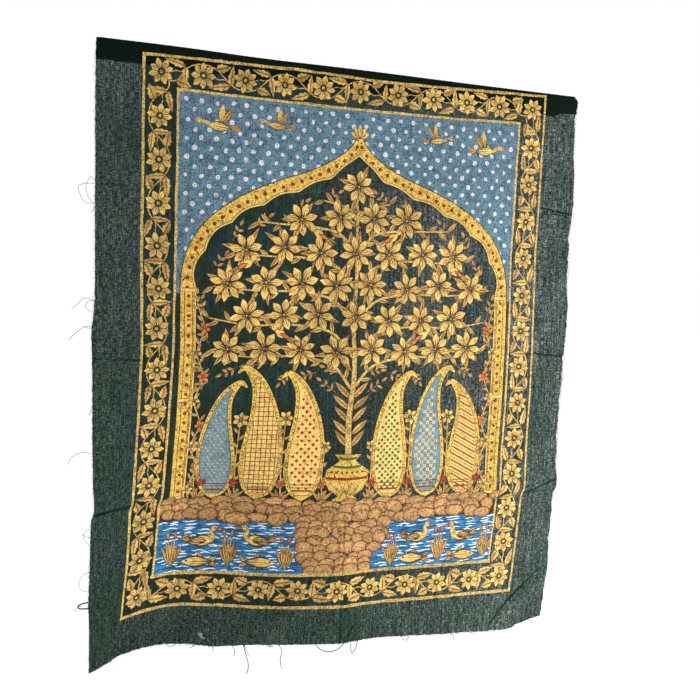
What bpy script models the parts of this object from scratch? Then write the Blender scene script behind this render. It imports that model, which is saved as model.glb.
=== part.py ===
"""A painted cotton hanging: one rectangle of cloth, hung by its top edge, where it is folded back on itself.

Metres, +Z up. The painted side faces -Y. The origin is the middle of the top fold.
The cloth is described flat first: "across" runs from the left cut to the right one, and "down" from the top fold to
the lower cut. Negative "down" is the flap that hangs behind the painted side.
"""

import bmesh
import bpy
import numpy as np

# Driving dimensions of the flat cloth.
CLOTH_WIDTH = 0.914
DROP = 1.080
FLAP = 0.038
THICKNESS = 0.0012
CENTRE_CREASE = 0.465

# The top edge turns over with this radius in the middle of the cloth's thickness, so the two layers stand apart.
TURN_RADIUS = 0.0016
TURN_STEPS = 8
TURN_LENGTH = TURN_RADIUS * np.pi / 2

# The cut edges aren't straight. Each row is (down, how far the left cut stands out, how far the right cut does).
CUT_SIDES = (
    (-0.040, -0.002, 0.003),
    (-0.012, -0.001, 0.002),
    (0.000, -0.001, -0.006),
    (0.010, 0.000, 0.001),
    (0.063, 0.000, -0.001),
    (0.132, 0.000, 0.003),
    (0.195, -0.001, 0.005),
    (0.275, -0.001, 0.002),
    (0.390, -0.002, 0.002),
    (0.424, -0.002, 0.003),
    (0.481, 0.003, 0.003),
    (0.541, 0.001, 0.001),
    (0.650, 0.000, 0.001),
    (0.753, -0.001, 0.004),
    (0.790, -0.003, 0.007),
    (0.812, -0.001, 0.006),
    (0.870, 0.000, 0.006),
    (0.947, 0.002, 0.007),
    (1.000, -0.001, 0.008),
    (1.080, -0.001, 0.010),
)
# Each row is (across, how far the lower cut hangs past the drop).
CUT_FOOT = (
    (0.000, -0.004),
    (0.045, -0.001),
    (0.070, -0.003),
    (0.120, -0.001),
    (0.190, 0.003),
    (0.235, 0.008),
    (0.300, 0.003),
    (0.415, 0.000),
    (0.540, -0.002),
    (0.730, 0.006),
    (0.825, 0.016),
    (0.851, 0.016),
    (0.857, 0.010),
    (0.890, 0.001),
    (0.914, -0.003),
)
# Each row is (across, how far the flap's lower cut stands from its length).
CUT_FLAP = (
    (0.000, -0.003),
    (0.300, 0.001),
    (0.500, 0.004),
    (0.830, 0.002),
    (0.860, 0.006),
    (0.880, -0.002),
    (0.914, -0.004),
)

# How far five up-and-down lines of the sheet sway sideways as it falls. The lines stand at these places across, and
# each row is (down, left cut, left painted line, middle crease, right painted line, right cut).
SWAY_STATIONS = (0.000, 0.076, 0.465, 0.840, 0.914)
SWAY = (
    (0.000, 0.000, 0.000, 0.000, 0.000, 0.000),
    (0.385, 0.000, 0.002, 0.003, 0.004, 0.004),
    (0.500, 0.000, 0.005, 0.005, 0.008, 0.007),
    (0.640, 0.000, 0.001, 0.004, 0.007, 0.007),
    (0.787, 0.002, -0.004, 0.002, 0.006, 0.006),
    (0.806, -0.002, -0.008, -0.002, 0.001, 0.001),
    (0.900, -0.002, -0.011, -0.002, -0.003, -0.002),
    (1.000, -0.003, -0.020, -0.003, -0.010, -0.004),
    (1.090, -0.003, -0.025, -0.004, -0.013, -0.006),
)

# The lower left of the sheet swings back as one wide hollow. Each row is (down, depth, how far it is drawn up).
HOLLOW = (
    (0.380, 0.000, 0.000),
    (0.640, 0.010, 0.001),
    (0.792, 0.048, 0.008),
    (0.940, 0.052, 0.014),
    (1.090, 0.054, 0.015),
)
# Each row is (across, share of the hollow's depth).
HOLLOW_SHARE = (
    (0.000, 0.000),
    (0.076, 0.550),
    (0.130, 0.900),
    (0.165, 1.000),
    (0.235, 0.820),
    (0.300, 0.550),
    (0.370, 0.300),
    (0.465, 0.080),
    (0.600, 0.000),
)
CORNER_FORWARD = 0.016
CORNER_WIDTH = 0.050

# Storage creases that run across. Each row is (down, stand-off at the crease, how far it reaches, 1 for a step).
CREASES_ACROSS = (
    (0.232, 0.0018, 0.030, 0),
    (0.515, -0.0030, 0.040, 0),
    (0.798, 0.0040, 0.030, 1),
)
CREASE_ROUNDING = 0.0025
STEP_ROUNDING = 0.0045
# The middle crease is a ridge that stands forward more and more towards the lower cut.
RIDGE_TOP = 0.0030
RIDGE_FOOT = 0.011
RIDGE_REACH = 0.070
# The lower right corner turns back along a slanting crease.
CORNER_CREASE_ACROSS = 0.838
CORNER_CREASE_DOWN = 1.035
CORNER_CREASE_SLOPE = (0.66, 0.75)
CORNER_TURN = 0.12
# The slow waves of a sheet that hangs free. Each row is (depth, waves per metre across, per metre down, phase).
WAVES = (
    (0.0026, 2.3, 0.9, 0.6),
    (0.0018, 4.1, -1.3, 2.1),
    (0.0012, 1.2, 5.2, 4.0),
)

# Resolution of the solid.
COLUMNS = 36
ROW_SPANS = ((0.040, 0.214, 6), (0.250, 0.494, 7), (0.534, 0.770, 7), (0.822, 0.960, 5), (0.985, 1.085, 5))
CREASE_ROWS = (-0.008, -0.003, 0.0, 0.003, 0.008)


def table(rows, at, column=1):
    """The named column of a short table, read at a place along its first column."""
    return np.interp(at, [row[0] for row in rows], [row[column] for row in rows])


def eased(rows, at, column, reach):
    """The same, with the corners between the rows rounded off."""
    steps = np.linspace(-1, 1, 7)
    return sum(table(rows, at + reach * s, column) for s in steps) / len(steps)


def ramp(value, start, end):
    """0 before start, 1 after end, and a smooth rise between them."""
    share = np.clip((value - start) / (end - start), 0, 1)
    return share * share * (3 - 2 * share)


def ridge(value, reach):
    """A pressed crease: 1 at the crease, with a small rounding, and falling away on both sides."""
    rounded = np.sqrt(value**2 + CREASE_ROUNDING**2) - CREASE_ROUNDING
    return np.exp(-rounded / reach)


def step(value, reach):
    """A crease whose upper side overhangs its lower side."""
    return np.tanh(value / STEP_ROUNDING) * np.exp(-np.abs(value) / reach)


def sway(across, down):
    """How far a place of the sheet stands to the side of where it would be if the sheet hung dead straight."""
    columns = range(1, len(SWAY_STATIONS) + 1)
    lines = [eased(SWAY, down, column, 0.006) for column in columns]
    total = lines[0]
    for k in range(len(lines) - 1):
        start, end = SWAY_STATIONS[k], SWAY_STATIONS[k + 1]
        total = total + (lines[k + 1] - lines[k]) * np.clip((across - start) / (end - start), 0, 1)
    return total


def creases_across(across, down):
    stand = 0
    for crease_down, depth, reach, is_step in CREASES_ACROSS:
        unevenness = 0.75 + 0.25 * np.sin(11 * across + 40 * crease_down)
        shape = step if is_step else ridge
        stand = stand + depth * unevenness * shape(down - crease_down, reach)
    return stand


def corner_turn(across, down):
    past = (across - CORNER_CREASE_ACROSS) * CORNER_CREASE_SLOPE[0]
    past = past + (down - CORNER_CREASE_DOWN) * CORNER_CREASE_SLOPE[1]
    return CORNER_TURN * (np.sqrt(np.maximum(past, 0) ** 2 + CREASE_ROUNDING**2) - CREASE_ROUNDING)


def stand_off(across, down):
    """How far the sheet stands behind its plane."""
    stand = creases_across(across, down) + corner_turn(across, down)
    stand = stand + eased(HOLLOW, down, 1, 0.012) * eased(HOLLOW_SHARE, across, 1, 0.022)
    stand = stand - CORNER_FORWARD * ramp(down, 0.56, 1.04) * np.exp(-np.maximum(across, 0) / CORNER_WIDTH)
    middle = RIDGE_TOP + (RIDGE_FOOT - RIDGE_TOP) * ramp(down, 0.45, 1.08)
    stand = stand - middle * ridge(across - CENTRE_CREASE, RIDGE_REACH)
    for depth, per_across, per_down, phase in WAVES:
        stand = stand + depth * np.sin(2 * np.pi * (per_across * across + per_down * down) + phase)
    return stand * ramp(down, 0.030, 0.180)


def place(across, down):
    """Where a place of the flat cloth hangs."""
    x = across - CLOTH_WIDTH / 2
    if down < -TURN_LENGTH:
        return x, 2 * TURN_RADIUS, -TURN_RADIUS - (-down - TURN_LENGTH)
    if down < TURN_LENGTH:
        angle = np.pi / 2 - down / TURN_RADIUS
        return x, TURN_RADIUS * (1 - np.cos(angle)), TURN_RADIUS * (np.sin(angle) - 1)
    drawn_up = eased(HOLLOW, down, 2, 0.012) * eased(HOLLOW_SHARE, across, 1, 0.022)
    return x + sway(across, down), stand_off(across, down), -TURN_RADIUS - (down - TURN_LENGTH) + drawn_up


def rows_down():
    """Where the rows of the solid lie: close at the turn and at each crease, and wide between them."""
    flap = list(np.linspace(-FLAP, -TURN_LENGTH, 4)[:-1])
    turn = list(np.linspace(-TURN_LENGTH, TURN_LENGTH, TURN_STEPS + 1))
    rows = flap + turn + [0.022]
    for first, last, count in ROW_SPANS:
        rows += list(np.linspace(first, last, count))
    for crease in CREASES_ACROSS:
        rows += [crease[0] + offset for offset in CREASE_ROWS]
    return sorted(rows)


def cut_to_edges(share, row):
    """The across and down of a point of the grid, drawn to the cut edges."""
    flat = share * CLOTH_WIDTH
    last_first, last_end, _ = ROW_SPANS[-1]
    down = row
    if row > last_first:
        foot = DROP + table(CUT_FOOT, flat)
        down = last_first + (row - last_first) / (last_end - last_first) * (foot - last_first)
    if row < -TURN_LENGTH:
        hem = (-row - TURN_LENGTH) / (FLAP - TURN_LENGTH)
        down = -TURN_LENGTH - hem * (FLAP + table(CUT_FLAP, flat) - TURN_LENGTH)
    left = -table(CUT_SIDES, down, 1)
    right = CLOTH_WIDTH + table(CUT_SIDES, down, 2)
    return left + share * (right - left), down


def build_cloth(collection):
    """A flat grid of cloth, each of whose points is moved to where it hangs, and then given its thickness."""
    rows = rows_down()
    sheet = bmesh.new()
    bmesh.ops.create_grid(sheet, x_segments=COLUMNS, y_segments=len(rows) - 1, size=0.5)
    for point in sheet.verts:
        row = rows[round((0.5 - point.co.y) * (len(rows) - 1))]
        point.co = place(*cut_to_edges(point.co.x + 0.5, row))
    mesh = bpy.data.meshes.new("cloth")
    sheet.to_mesh(mesh)
    sheet.free()
    mesh.shade_smooth()
    cloth = bpy.data.objects.new("cloth", mesh)
    collection.objects.link(cloth)
    wall = cloth.modifiers.new("thickness", "SOLIDIFY")
    wall.thickness = THICKNESS
    wall.offset = 0
    wall.use_even_offset = True
    cloth.data.materials.append(dyed_cotton())


def dyed_cotton():
    material = bpy.data.materials.new("dyed_cotton")
    material.use_nodes = True
    shader = material.node_tree.nodes["Principled BSDF"]
    shader.inputs["Base Color"].default_value = (0.045, 0.075, 0.065, 1)
    shader.inputs["Roughness"].default_value = 0.9
    shader.inputs["Metallic"].default_value = 0
    return material


def main():
    for old in list(bpy.data.objects):
        bpy.data.objects.remove(old)
    collection = bpy.data.collections.new("painted_hanging")
    bpy.context.scene.collection.children.link(collection)
    build_cloth(collection)


main()
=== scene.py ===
import math
import random

import bmesh
import bpy
import numpy as np
from mathutils import Matrix, Vector
from mathutils.geometry import delaunay_2d_cdt


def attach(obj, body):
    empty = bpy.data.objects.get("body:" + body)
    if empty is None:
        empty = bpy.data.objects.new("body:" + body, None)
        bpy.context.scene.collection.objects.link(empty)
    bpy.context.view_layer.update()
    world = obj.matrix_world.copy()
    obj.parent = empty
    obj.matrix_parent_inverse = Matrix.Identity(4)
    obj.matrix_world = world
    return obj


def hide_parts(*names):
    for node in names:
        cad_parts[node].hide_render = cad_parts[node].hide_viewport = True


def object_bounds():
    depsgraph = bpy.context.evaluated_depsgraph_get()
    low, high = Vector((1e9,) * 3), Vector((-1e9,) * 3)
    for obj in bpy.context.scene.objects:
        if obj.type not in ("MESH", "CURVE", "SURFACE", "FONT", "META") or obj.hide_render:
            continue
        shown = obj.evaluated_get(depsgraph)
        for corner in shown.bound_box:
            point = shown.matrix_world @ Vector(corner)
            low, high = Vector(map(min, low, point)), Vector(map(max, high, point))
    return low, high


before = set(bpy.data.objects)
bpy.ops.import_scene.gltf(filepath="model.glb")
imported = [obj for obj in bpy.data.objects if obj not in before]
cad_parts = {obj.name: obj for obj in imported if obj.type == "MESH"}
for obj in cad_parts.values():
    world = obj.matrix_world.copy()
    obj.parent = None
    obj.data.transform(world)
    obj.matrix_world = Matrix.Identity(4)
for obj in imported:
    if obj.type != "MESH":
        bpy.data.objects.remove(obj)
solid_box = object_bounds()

chance = random.Random(31)

# The cloth, flat, in metres. "across" runs from the left cut to the right one and "down" from the top fold to
# the lower cut. Negative "down" is the flap behind. These are the solid's own sizes.
CLOTH_WIDTH = 0.914
DROP = 1.080
FLAP = 0.038
CENTRE_CREASE = 0.465
TURN_RADIUS = 0.0016
TURN_LENGTH = TURN_RADIUS * math.pi / 2
SHEET_THICKNESS = 0.0006
MM = 0.001

# Each row is (down, how far the left cut stands out, how far the right cut does).
CUT_SIDES = (
    (-0.040, -0.002, 0.003),
    (-0.012, -0.001, 0.002),
    (0.000, -0.001, -0.006),
    (0.010, 0.000, 0.001),
    (0.063, 0.000, -0.001),
    (0.132, 0.000, 0.003),
    (0.195, -0.001, 0.005),
    (0.275, -0.001, 0.002),
    (0.390, -0.002, 0.002),
    (0.424, -0.002, 0.003),
    (0.481, 0.003, 0.003),
    (0.541, 0.001, 0.001),
    (0.650, 0.000, 0.001),
    (0.753, -0.001, 0.004),
    (0.790, -0.003, 0.007),
    (0.812, -0.001, 0.006),
    (0.870, 0.000, 0.006),
    (0.947, 0.002, 0.007),
    (1.000, -0.001, 0.008),
    (1.080, -0.001, 0.010),
)
# Each row is (across, how far the lower cut hangs past the drop).
CUT_FOOT = (
    (0.000, -0.004),
    (0.045, -0.001),
    (0.070, -0.003),
    (0.120, -0.001),
    (0.190, 0.003),
    (0.235, 0.008),
    (0.300, 0.003),
    (0.415, 0.000),
    (0.540, -0.002),
    (0.730, 0.006),
    (0.825, 0.016),
    (0.851, 0.016),
    (0.857, 0.010),
    (0.890, 0.001),
    (0.914, -0.003),
)
# Each row is (across, how far the flap's lower cut stands from its length).
CUT_FLAP = (
    (0.000, -0.003),
    (0.300, 0.001),
    (0.500, 0.004),
    (0.830, 0.002),
    (0.860, 0.006),
    (0.880, -0.002),
    (0.914, -0.004),
)
# Each row is (down, then the sideways sway of the lines at the stations).
SWAY_STATIONS = (0.000, 0.076, 0.465, 0.840, 0.914)
SWAY = (
    (0.000, 0.000, 0.000, 0.000, 0.000, 0.000),
    (0.385, 0.000, 0.002, 0.003, 0.004, 0.004),
    (0.500, 0.000, 0.005, 0.005, 0.008, 0.007),
    (0.640, 0.000, 0.001, 0.004, 0.007, 0.007),
    (0.787, 0.002, -0.004, 0.002, 0.006, 0.006),
    (0.806, -0.002, -0.008, -0.002, 0.001, 0.001),
    (0.900, -0.002, -0.011, -0.002, -0.003, -0.002),
    (1.000, -0.003, -0.020, -0.003, -0.010, -0.004),
    (1.090, -0.003, -0.025, -0.004, -0.013, -0.006),
)
# The hollow at the lower left. Each row is (down, depth, how far it is drawn up).
HOLLOW = (
    (0.380, 0.000, 0.000),
    (0.640, 0.010, 0.001),
    (0.792, 0.048, 0.008),
    (0.940, 0.052, 0.014),
    (1.090, 0.054, 0.015),
)
# Each row is (across, share of the hollow's depth there).
HOLLOW_SHARE = (
    (0.000, 0.000),
    (0.076, 0.550),
    (0.130, 0.900),
    (0.165, 1.000),
    (0.235, 0.820),
    (0.300, 0.550),
    (0.370, 0.300),
    (0.465, 0.080),
    (0.600, 0.000),
)
# How far to each side the corners between the rows of a table are rounded off.
SWAY_EASE = 0.006
HOLLOW_EASE = 0.012
HOLLOW_SHARE_EASE = 0.022
TOP_RISE_EASE = 0.050
CORNER_FORWARD = 0.016
CORNER_WIDTH = 0.050
# How far down the lower left corner starts to come forward, and where it is all the way.
CORNER_START = 0.56
CORNER_FULL = 1.04
# Storage creases that run across. Each row is (down, stand-off at the crease, its reach, 1 for a step).
CREASES_ACROSS = (
    (0.232, 0.0018, 0.030, 0),
    (0.515, -0.0030, 0.040, 0),
    (0.798, 0.0040, 0.030, 1),
)
CREASE_ROUNDING = 0.0025
STEP_ROUNDING = 0.0045
RIDGE_TOP = 0.0030
RIDGE_FOOT = 0.011
RIDGE_REACH = 0.070
RIDGE_START = 0.45
RIDGE_FULL = 1.08
CORNER_CREASE_ACROSS = 0.838
CORNER_CREASE_DOWN = 1.035
CORNER_CREASE_SLOPE = (0.66, 0.75)
CORNER_TURN = 0.12
# Each row is (depth, waves per metre across, per metre down, phase).
WAVES = (
    (0.0026, 2.3, 0.9, 0.6),
    (0.0018, 4.1, -1.3, 2.1),
    (0.0012, 1.2, 5.2, 4.0),
)
# Near the top fold the cloth hangs flat: how far down its folds start, and where they are full.
FLAT_TO = 0.030
FOLDS_FULL = 0.180

# Creases that only the thin sheet has. Each row is (start across, start down, end across, end down, depth,
# reach, how wide the painted shadow line in it is). A negative depth is a ridge that stands towards the
# viewer.
SOFT_CREASES = (
    (0.060, 0.835, 0.050, 1.062, 0.0022, 0.012, 0.0),
    (0.902, 0.966, 0.875, 0.993, 0.0020, 0.006, 0.0026),
    (0.875, 0.993, 0.838, 1.033, 0.0026, 0.006, 0.0042),
    (0.838, 1.033, 0.804, 1.078, 0.0020, 0.006, 0.0034),
    (-0.004, 0.796, 0.076, 0.794, 0.0030, 0.007, 0.0050),
    (0.076, 0.794, 0.140, 0.801, 0.0012, 0.006, 0.0036),
    (0.918, 0.776, 0.846, 0.800, 0.0016, 0.006, 0.0030),
    (0.462, 0.812, 0.464, 1.082, 0.0016, 0.005, 0.0016),
    (0.462, 0.240, 0.466, 0.500, -0.0008, 0.005, 0.0),
    (-0.004, 0.404, 0.080, 0.418, 0.0007, 0.006, 0.0),
    (0.850, 0.222, 0.918, 0.232, 0.0020, 0.005, 0.0025),
    (0.845, 0.512, 0.918, 0.520, 0.0012, 0.006, 0.0022),
    (-0.004, 0.524, 0.090, 0.528, 0.0009, 0.006, 0.0016),
    (0.155, 1.078, 0.215, 1.030, 0.0010, 0.010, 0.0),
    (0.330, 1.020, 0.300, 1.080, 0.0008, 0.012, 0.0),
    (0.640, 1.082, 0.600, 1.020, 0.0008, 0.012, 0.0),
)
SOFT_ROUNDING = 0.0015
# How far past its end a small crease runs, and how far before its end it starts to fade.
SOFT_PAST = 0.010
SOFT_BEFORE = 0.012
# How far the top fold rises from level. Each row is (across, rise).
TOP_RISE = (
    (0.000, 0.0028),
    (0.150, 0.0030),
    (0.270, 0.0002),
    (0.450, 0.0014),
    (0.700, 0.0000),
)
TOP_RISE_FADES = 0.160


def table(rows, at, column=1):
    """The named column of a short table, read at places along its first column."""
    return np.interp(at, [row[0] for row in rows], [row[column] for row in rows])


def eased(rows, at, column, reach):
    """The same, with the corners between the rows rounded off."""
    steps = np.linspace(-1, 1, 7)
    return sum(table(rows, at + reach * s, column) for s in steps) / len(steps)


def ramp(value, start, end):
    share = np.clip((value - start) / (end - start), 0, 1)
    return share * share * (3 - 2 * share)


def ridge(value, reach, rounding=CREASE_ROUNDING):
    rounded = np.sqrt(value**2 + rounding**2) - rounding
    return np.exp(-rounded / reach)


def step(value, reach):
    return np.tanh(value / STEP_ROUNDING) * np.exp(-np.abs(value) / reach)


def sway(across, down):
    lines = [eased(SWAY, down, column + 1, SWAY_EASE) for column in range(len(SWAY_STATIONS))]
    total = lines[0]
    for k in range(len(lines) - 1):
        start, end = SWAY_STATIONS[k], SWAY_STATIONS[k + 1]
        total = total + (lines[k + 1] - lines[k]) * np.clip((across - start) / (end - start), 0, 1)
    return total


def soft_creases(across, down):
    """How far the small creases stand off, each fading out at its ends."""
    stand = np.zeros_like(across)
    for x0, y0, x1, y1, depth, reach, _ in SOFT_CREASES:
        length = math.hypot(x1 - x0, y1 - y0)
        along = ((across - x0) * (x1 - x0) + (down - y0) * (y1 - y0)) / length
        aside = ((across - x0) * (y1 - y0) - (down - y0) * (x1 - x0)) / length
        start = ramp(along, -SOFT_PAST, SOFT_BEFORE)
        end = ramp(along, length - SOFT_BEFORE, length + SOFT_PAST)
        stand += depth * (start * (1 - end)) * ridge(aside, reach, SOFT_ROUNDING)
    return stand


def hollow(across, down, column):
    """The hollow's depth, column 1, or how far it draws the cloth up, column 2."""
    return eased(HOLLOW, down, column, HOLLOW_EASE) * eased(HOLLOW_SHARE, across, 1, HOLLOW_SHARE_EASE)


def stand_off(across, down):
    """How far the sheet stands behind its plane."""
    stand = soft_creases(across, down)
    for crease_down, depth, reach, is_step in CREASES_ACROSS:
        unevenness = 0.75 + 0.25 * np.sin(11 * across + 40 * crease_down)
        shape = step if is_step else ridge
        stand += depth * unevenness * shape(down - crease_down, reach)
    past = (across - CORNER_CREASE_ACROSS) * CORNER_CREASE_SLOPE[0]
    past = past + (down - CORNER_CREASE_DOWN) * CORNER_CREASE_SLOPE[1]
    stand += CORNER_TURN * (np.sqrt(np.maximum(past, 0) ** 2 + CREASE_ROUNDING**2) - CREASE_ROUNDING)
    stand += hollow(across, down, 1)
    corner = CORNER_FORWARD * ramp(down, CORNER_START, CORNER_FULL)
    stand -= corner * np.exp(-np.maximum(across, 0) / CORNER_WIDTH)
    middle = RIDGE_TOP + (RIDGE_FOOT - RIDGE_TOP) * ramp(down, RIDGE_START, RIDGE_FULL)
    stand -= middle * ridge(across - CENTRE_CREASE, RIDGE_REACH)
    for depth, per_across, per_down, phase in WAVES:
        stand += depth * np.sin(2 * np.pi * (per_across * across + per_down * down) + phase)
    return stand * ramp(down, FLAT_TO, FOLDS_FULL)


def hang(flat):
    """Where places of the flat cloth hang: an array of (across, down) gives one of (x, y, z)."""
    across, down = flat[:, 0], flat[:, 1]
    x = across - CLOTH_WIDTH / 2
    angle = np.pi / 2 - down / TURN_RADIUS
    turn = np.column_stack([x, TURN_RADIUS * (1 - np.cos(angle)), TURN_RADIUS * (np.sin(angle) - 1)])
    flap = np.column_stack([x, np.full_like(x, 2 * TURN_RADIUS), -TURN_RADIUS + down + TURN_LENGTH])
    z = -TURN_RADIUS - (down - TURN_LENGTH) + hollow(across, down, 2)
    front = np.column_stack([x + sway(across, down), stand_off(across, down), z])
    behind = (down < -TURN_LENGTH)[:, None]
    on_turn = (np.abs(down) <= TURN_LENGTH)[:, None]
    hung = np.where(behind, flap, np.where(on_turn, turn, front))
    hung[:, 2] += eased(TOP_RISE, across, 1, TOP_RISE_EASE) * (1 - ramp(np.abs(down), 0.0, TOP_RISE_FADES))
    return hung


def unit(rows):
    """Each row's direction, with a length of 1."""
    return rows / np.maximum(np.linalg.norm(rows, axis=1), 1e-9)[:, None]


def faces_out(flat):
    """The direction that the painted side faces at places of the flat cloth."""
    reach = 0.0003
    right = hang(flat + [reach, 0]) - hang(flat - [reach, 0])
    up = hang(flat - [0, reach]) - hang(flat + [0, reach])
    return unit(np.cross(right, up))


# The painting. Its outlines are in millimetres of the flat cloth, as (across, down), and each lies over those
# before.

class Painting:
    """Flat outlines, each with its paint, the line that its brush marks follow and its brightness."""

    def __init__(self):
        self.outlines, self.paints, self.marks, self.touches = [], [], [], []

    def lay(self, outline, paint, start=None, end=None, half=None, touch_and_shade=1.0):
        outline = split_long(np.asarray(outline, float))
        if start is None:
            start, end = outline.mean(0), outline.mean(0) + [1, 0]
            half = 1.0
        self.outlines.append(outline[::-1] if twice_area(outline) > 0 else outline)
        self.paints.append(paint)
        self.marks.append((*start, *end, half))
        self.touches.append(touch_and_shade)

    def edged(self, outline, paint, start, end, half, rim, touch_and_shade=1.0):
        """An outline with a drawn line round it."""
        self.lay(grown(outline, rim), "brown_line")
        self.lay(outline, paint, start, end, half, touch_and_shade)


LONGEST_EDGE = 9.0


def twice_area(outline):
    """Twice the area inside an outline, which is negative for one way round."""
    following = np.roll(outline, -1, axis=0)
    return np.sum(outline[:, 0] * following[:, 1] - following[:, 0] * outline[:, 1])


def split_long(outline):
    """The same outline with its long edges split, so that they bend with the cloth."""
    points = []
    for a, b in zip(outline, np.roll(outline, -1, axis=0)):
        pieces = max(int(math.hypot(*(b - a)) / LONGEST_EDGE + 0.999), 1)
        points += [a + (b - a) * k / pieces for k in range(pieces)]
    return np.array(points)


def grown(outline, by):
    """An outline moved outwards all round, or inwards where by is negative."""
    outline = np.asarray(outline, float)
    edge = unit(np.roll(outline, -1, axis=0) - outline)
    out = np.column_stack([edge[:, 1], -edge[:, 0]]) * (1 if twice_area(outline) > 0 else -1)
    corner = out + np.roll(out, 1, axis=0)
    size = np.maximum(np.sum(corner**2, axis=1), 0.9)
    return outline + corner * (2 * by / size)[:, None]


def within(outline, points):
    """Which of the points lie inside an outline."""
    a, b = outline[None], np.roll(outline, -1, axis=0)[None]
    p = points[:, None]
    spans = (a[..., 1] > p[..., 1]) != (b[..., 1] > p[..., 1])
    rise = np.where(b[..., 1] == a[..., 1], 1, b[..., 1] - a[..., 1])
    crossing = a[..., 0] + (p[..., 1] - a[..., 1]) * (b[..., 0] - a[..., 0]) / rise
    return (spans & (p[..., 0] < crossing)).sum(1) % 2 == 1


def gap_to(outline, points):
    """How far each of the points is from an outline."""
    a, p = outline[None], points[:, None]
    edge = np.roll(outline, -1, axis=0)[None] - a
    share = np.clip(((p - a) * edge).sum(-1) / np.maximum((edge**2).sum(-1), 1e-9), 0, 1)
    return np.linalg.norm(p - a - edge * share[..., None], axis=-1).min(1)


def turned(points, angle, at=(0, 0)):
    c, s = math.cos(angle), math.sin(angle)
    return np.asarray(points, float) @ np.array([[c, s], [-s, c]]) + at


def toward(angle, length):
    return np.array([math.cos(angle), math.sin(angle)]) * length


TIP_DRAWN_IN = 0.30
ALMOND_STEPS = 5
# How full a saw-edged leaf is in the hollow before a tooth and at its point.
TOOTH_HOLLOW = 0.80
TOOTH_POINT = 1.12


def almond(length, width, fullest):
    """A pointed oval from the origin along the first axis."""
    along = np.linspace(0, 1, ALMOND_STEPS + 1)[1:-1]
    half = width / 2 * np.sin(np.pi * along ** (math.log(0.5) / math.log(fullest)))
    half *= 1 - TIP_DRAWN_IN * ramp(along, fullest, 1.0)
    low, high = np.column_stack([along * length, -half]), np.column_stack([along * length, half])
    return np.vstack([[(0, 0)], low, [(length, 0)], high[::-1]])


def saw_leaf(length, width, teeth):
    """A pointed leaf whose edge is cut into teeth."""
    low = []
    for k in range(teeth):
        for share, size in ((k / teeth + 0.03, TOOTH_HOLLOW), ((k + 0.85) / teeth, TOOTH_POINT)):
            half = size * width / 2 * math.sin(math.pi * min(share, 0.97) ** 0.66)
            low.append((share * length, -half))
    low = np.array(low[1:])
    return np.vstack([[(0, 0)], low, [(length, 0)], (low * [1, -1])[::-1]])


def disc(at, radius, sides):
    angles = np.linspace(0, 2 * np.pi, sides, endpoint=False)
    return np.column_stack([np.cos(angles), np.sin(angles)]) * radius + at


def smooth(points, per):
    """A smooth path through a few points."""
    points = np.asarray(points, float)
    padded = np.vstack([2 * points[0] - points[1], points, 2 * points[-1] - points[-2]])
    path = []
    for k in range(len(points) - 1):
        a, b, c, d = padded[k:k + 4]
        for t in np.linspace(0, 1, per, endpoint=False):
            bend = (2 * a - 5 * b + 4 * c - d) * t**2
            path.append(0.5 * (2 * b + (c - a) * t + bend + (3 * b - a - 3 * c + d) * t**3))
    return np.array(path + [points[-1]])


def ribbon(path, widths):
    """A stroke along a path, as wide as widths says."""
    path = np.asarray(path, float)
    run = unit(np.gradient(path, axis=0))
    side = np.column_stack([-run[:, 1], run[:, 0]]) * (np.broadcast_to(widths, len(path)) / 2)[:, None]
    return np.vstack([path + side, (path - side)[::-1]])


def stroke(painting, path, widths, paint="gold_line", edge=0.0, touch_and_shade=1.0):
    path = np.asarray(path, float)
    if edge:
        painting.lay(ribbon(path, np.asarray(widths) + 2 * edge), "brown_line")
    painting.lay(ribbon(path, widths), paint, path[0], path[-1], float(np.max(widths)) / 2, touch_and_shade)


def uneven(amount):
    return chance.uniform(-amount, amount)


# How far along a shape is fullest, which its finish needs for the line round it.
PETAL_FULLEST = 0.56
LEAF_FULLEST = 0.45
# Where a flower's petals start and where they fill its round, as shares of its radius, and how much of its
# eye is gold.
PETAL_START = 0.14
PETAL_WIDE_AT = 0.66
EYE_MIDDLE = 0.48


def leaf(painting, at, angle, length, width, teeth=0, paint="gold_leaf", rim=0.0, touch_and_shade=1.0):
    fullest = LEAF_FULLEST if "leaf" in paint else PETAL_FULLEST
    shape = saw_leaf(length, width, teeth) if teeth else almond(length, width, fullest)
    shape = turned(shape, angle, at)
    if rim:
        painting.lay(grown(shape, rim), "brown_line")
    tip = np.asarray(at) + toward(angle, length)
    painting.lay(shape, paint, at, tip, width / 2, touch_and_shade * (1 + uneven(0.14)))


def flower(painting, at, radius, petals, turn, plump, eye, paint="gold_petal", touch_and_shade=1.0):
    """A star flower seen from the front: petals round a dark ring with a gold eye."""
    width = plump * 2 * PETAL_WIDE_AT * radius * math.tan(math.pi / petals)
    start = PETAL_START * radius
    brightness = touch_and_shade * (1 + uneven(0.10))
    for k in range(petals):
        angle = turn + 2 * math.pi * k / petals + uneven(0.05)
        length = radius * (1 + uneven(0.06)) - start
        root = np.asarray(at) + toward(angle, start)
        shape = turned(almond(length, width * (1 + uneven(0.06)), PETAL_FULLEST), angle, root)
        tip = root + toward(angle, length)
        painting.lay(shape, paint, root, tip, width / 2, brightness + uneven(0.08))
    painting.lay(disc(at, eye * radius, 8), "green_ring")
    painting.lay(disc(at, EYE_MIDDLE * eye * radius, 6), "gold_line", touch_and_shade=0.95 * touch_and_shade)


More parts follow.
